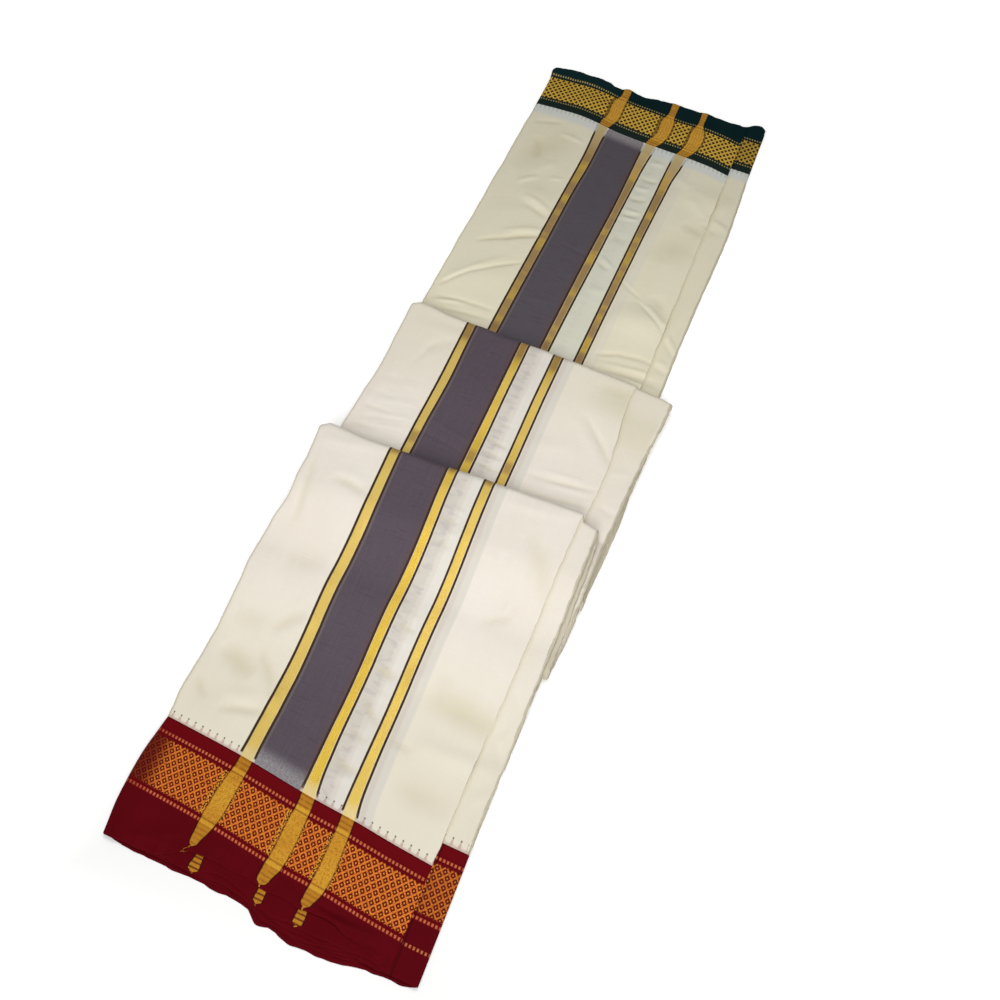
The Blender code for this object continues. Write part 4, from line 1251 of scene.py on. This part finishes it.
# %% Border material
def border(name, b):
    """Ground, rows of dots and lattice from the seam outwards, with the cloth's gold across them."""
    w = Weave(name)
    v, u = w.along, w.across
    first, start, end, second = b.rows
    # painted shade: the maroon darker, its pattern dimmer, where the cloth turns down at the left fold
    left_shade = w.scale(w.step(u, *LEFT_SHADE), b.left_shade)
    under = w.step(u, b.ledge - 0.0002, b.ledge + 0.0003)
    speck = w.step(w.noise(1400, 1100, 1.0), 0.35, 0.65)
    diamonds, hole = lattice(w, b, speck, left_shade, under)
    teeth = w.scale(w.math("ABSOLUTE", w.math("SUBTRACT", w.saw(u, TEETH), 0.5)), TOOTH)
    inside = w.times(w.step(w.math("SUBTRACT", v, teeth), start, start + 0.0006),
                     w.step(w.math("ADD", v, teeth), end + 0.0002, end - 0.0004))
    beside_dots = w.any_of(w.band(v, first - 0.0013, start + 0.0002), w.band(v, end - 0.0002, second + 0.0013))
    rims = w.any_of(w.band(v, start - 0.0012, start - 0.0003, 0.0002),
                    w.band(v, end + 0.0003, end + 0.0012, 0.0002))
    gold = gold_mask(w)
    gilt, bricks = crossing_gold(w, b, gold, rims)
    flecks = w.step(w.noise(1100, 900, 0.0), 0.44, 0.54)
    beside = w.any_of(w.beside_gold(left=(-0.0028, -0.0002), soft=0.0005),
                      w.beside_gold(right=(0.0002, 0.0014), soft=0.0004))
    outline = w.beside_gold(left=(-0.0007, 0.0003), right=(-0.0003, 0.0006))
    colour = w.coats(
        w.mix(w.noise(40, 30, 3.0), b.ground, b.shade),
        (w.noise(900, 60, 2.0), 0.35, b.shade),
        # painted shade at the left fold
        (left_shade, 0.4, b.shade),
        (w.step(v, first - 0.0006, first - 0.0030), 0.45, b.glow),
        (w.step(v, 0.0011, 0.0002), 0.6, dye(20, 4, 6)),
        (beside_dots, 0.75, b.glow),
        (rims, 0.75, b.shade),
        (dotted_rows(w, b, left_shade, under), w.scale(speck, 0.3, 0.56), b.dot),
        (inside, 1.0, diamonds),
        # painted shadow of the top cloth's edge on the second layer
        (w.band(u, b.ledge, b.ledge + 0.0010, 0.0006), 0.55, dye(16, 5, 6)),
        (w.times(inside, beside), 0.80, w.mix(flecks, dye(26, 12, 8), b.seed)),
        (outline, w.scale(inside, -0.15, 0.60), dye(18, 6, 6)),
        (gold, 1.0, gilt))

    shine = w.any_of(gold, w.times(inside, w.step(hole, 0.6, 0.2)))
    w.put(w.shader.inputs["Metallic"], w.scale(shine, 0.15))
    raised = w.math("ADD", w.times(inside, w.scale(hole, -0.7)), w.times(gold, w.scale(bricks, 0.5, 0.5)))
    height = w.math("ADD", w.scale(plain_weave(w), 0.8), raised)
    return w.finish(colour, w.scale(shine, -0.25, 0.75), height, strength=0.35, gloss=0.05, sheen=0.0)


maroon = border("maroon_border_weave", MAROON)
green = border("green_border_weave", GREEN)

# %% [markdown]
# ## Laying the cloth
#
# Each grid becomes a piece, stands for the solid of the same form, and rides on the one
# body of the packet.

# %% The pieces
near = lay_piece("near_cloth", [grids["near"]], cotton, "near_stretch")
middle = lay_piece("middle_cloth", [grids["middle"]], cotton, "middle_stretch")
far = lay_piece("far_cloth", [grids["far"]], cotton, "far_stretch")
lay_piece("folded_layers_cloth", [grids["layers"]], cotton, "folded_layers")
maroon_top = lay_piece("maroon_border_cloth", [grids["maroon"]], maroon, "maroon_border")
lay_piece("maroon_border_layers_cloth", stacks["maroon"], maroon, "maroon_border_layers")
green_top = lay_piece("green_border_cloth", [grids["green"]], green, "green_border")
lay_piece("green_border_layers_cloth", stacks["green"], green, "green_border_layers")

# %% [markdown]
# ## What was cut, and how it lies
#
# A sheet's flat size is the length of its section by the length of its side view. The
# lower layers share one rounded form, so only the top cloths are declared.

# %% Sheets
for piece, stretch in ((near, "near"), (middle, "middle"), (far, "far")):
    path = side_view(stretch)
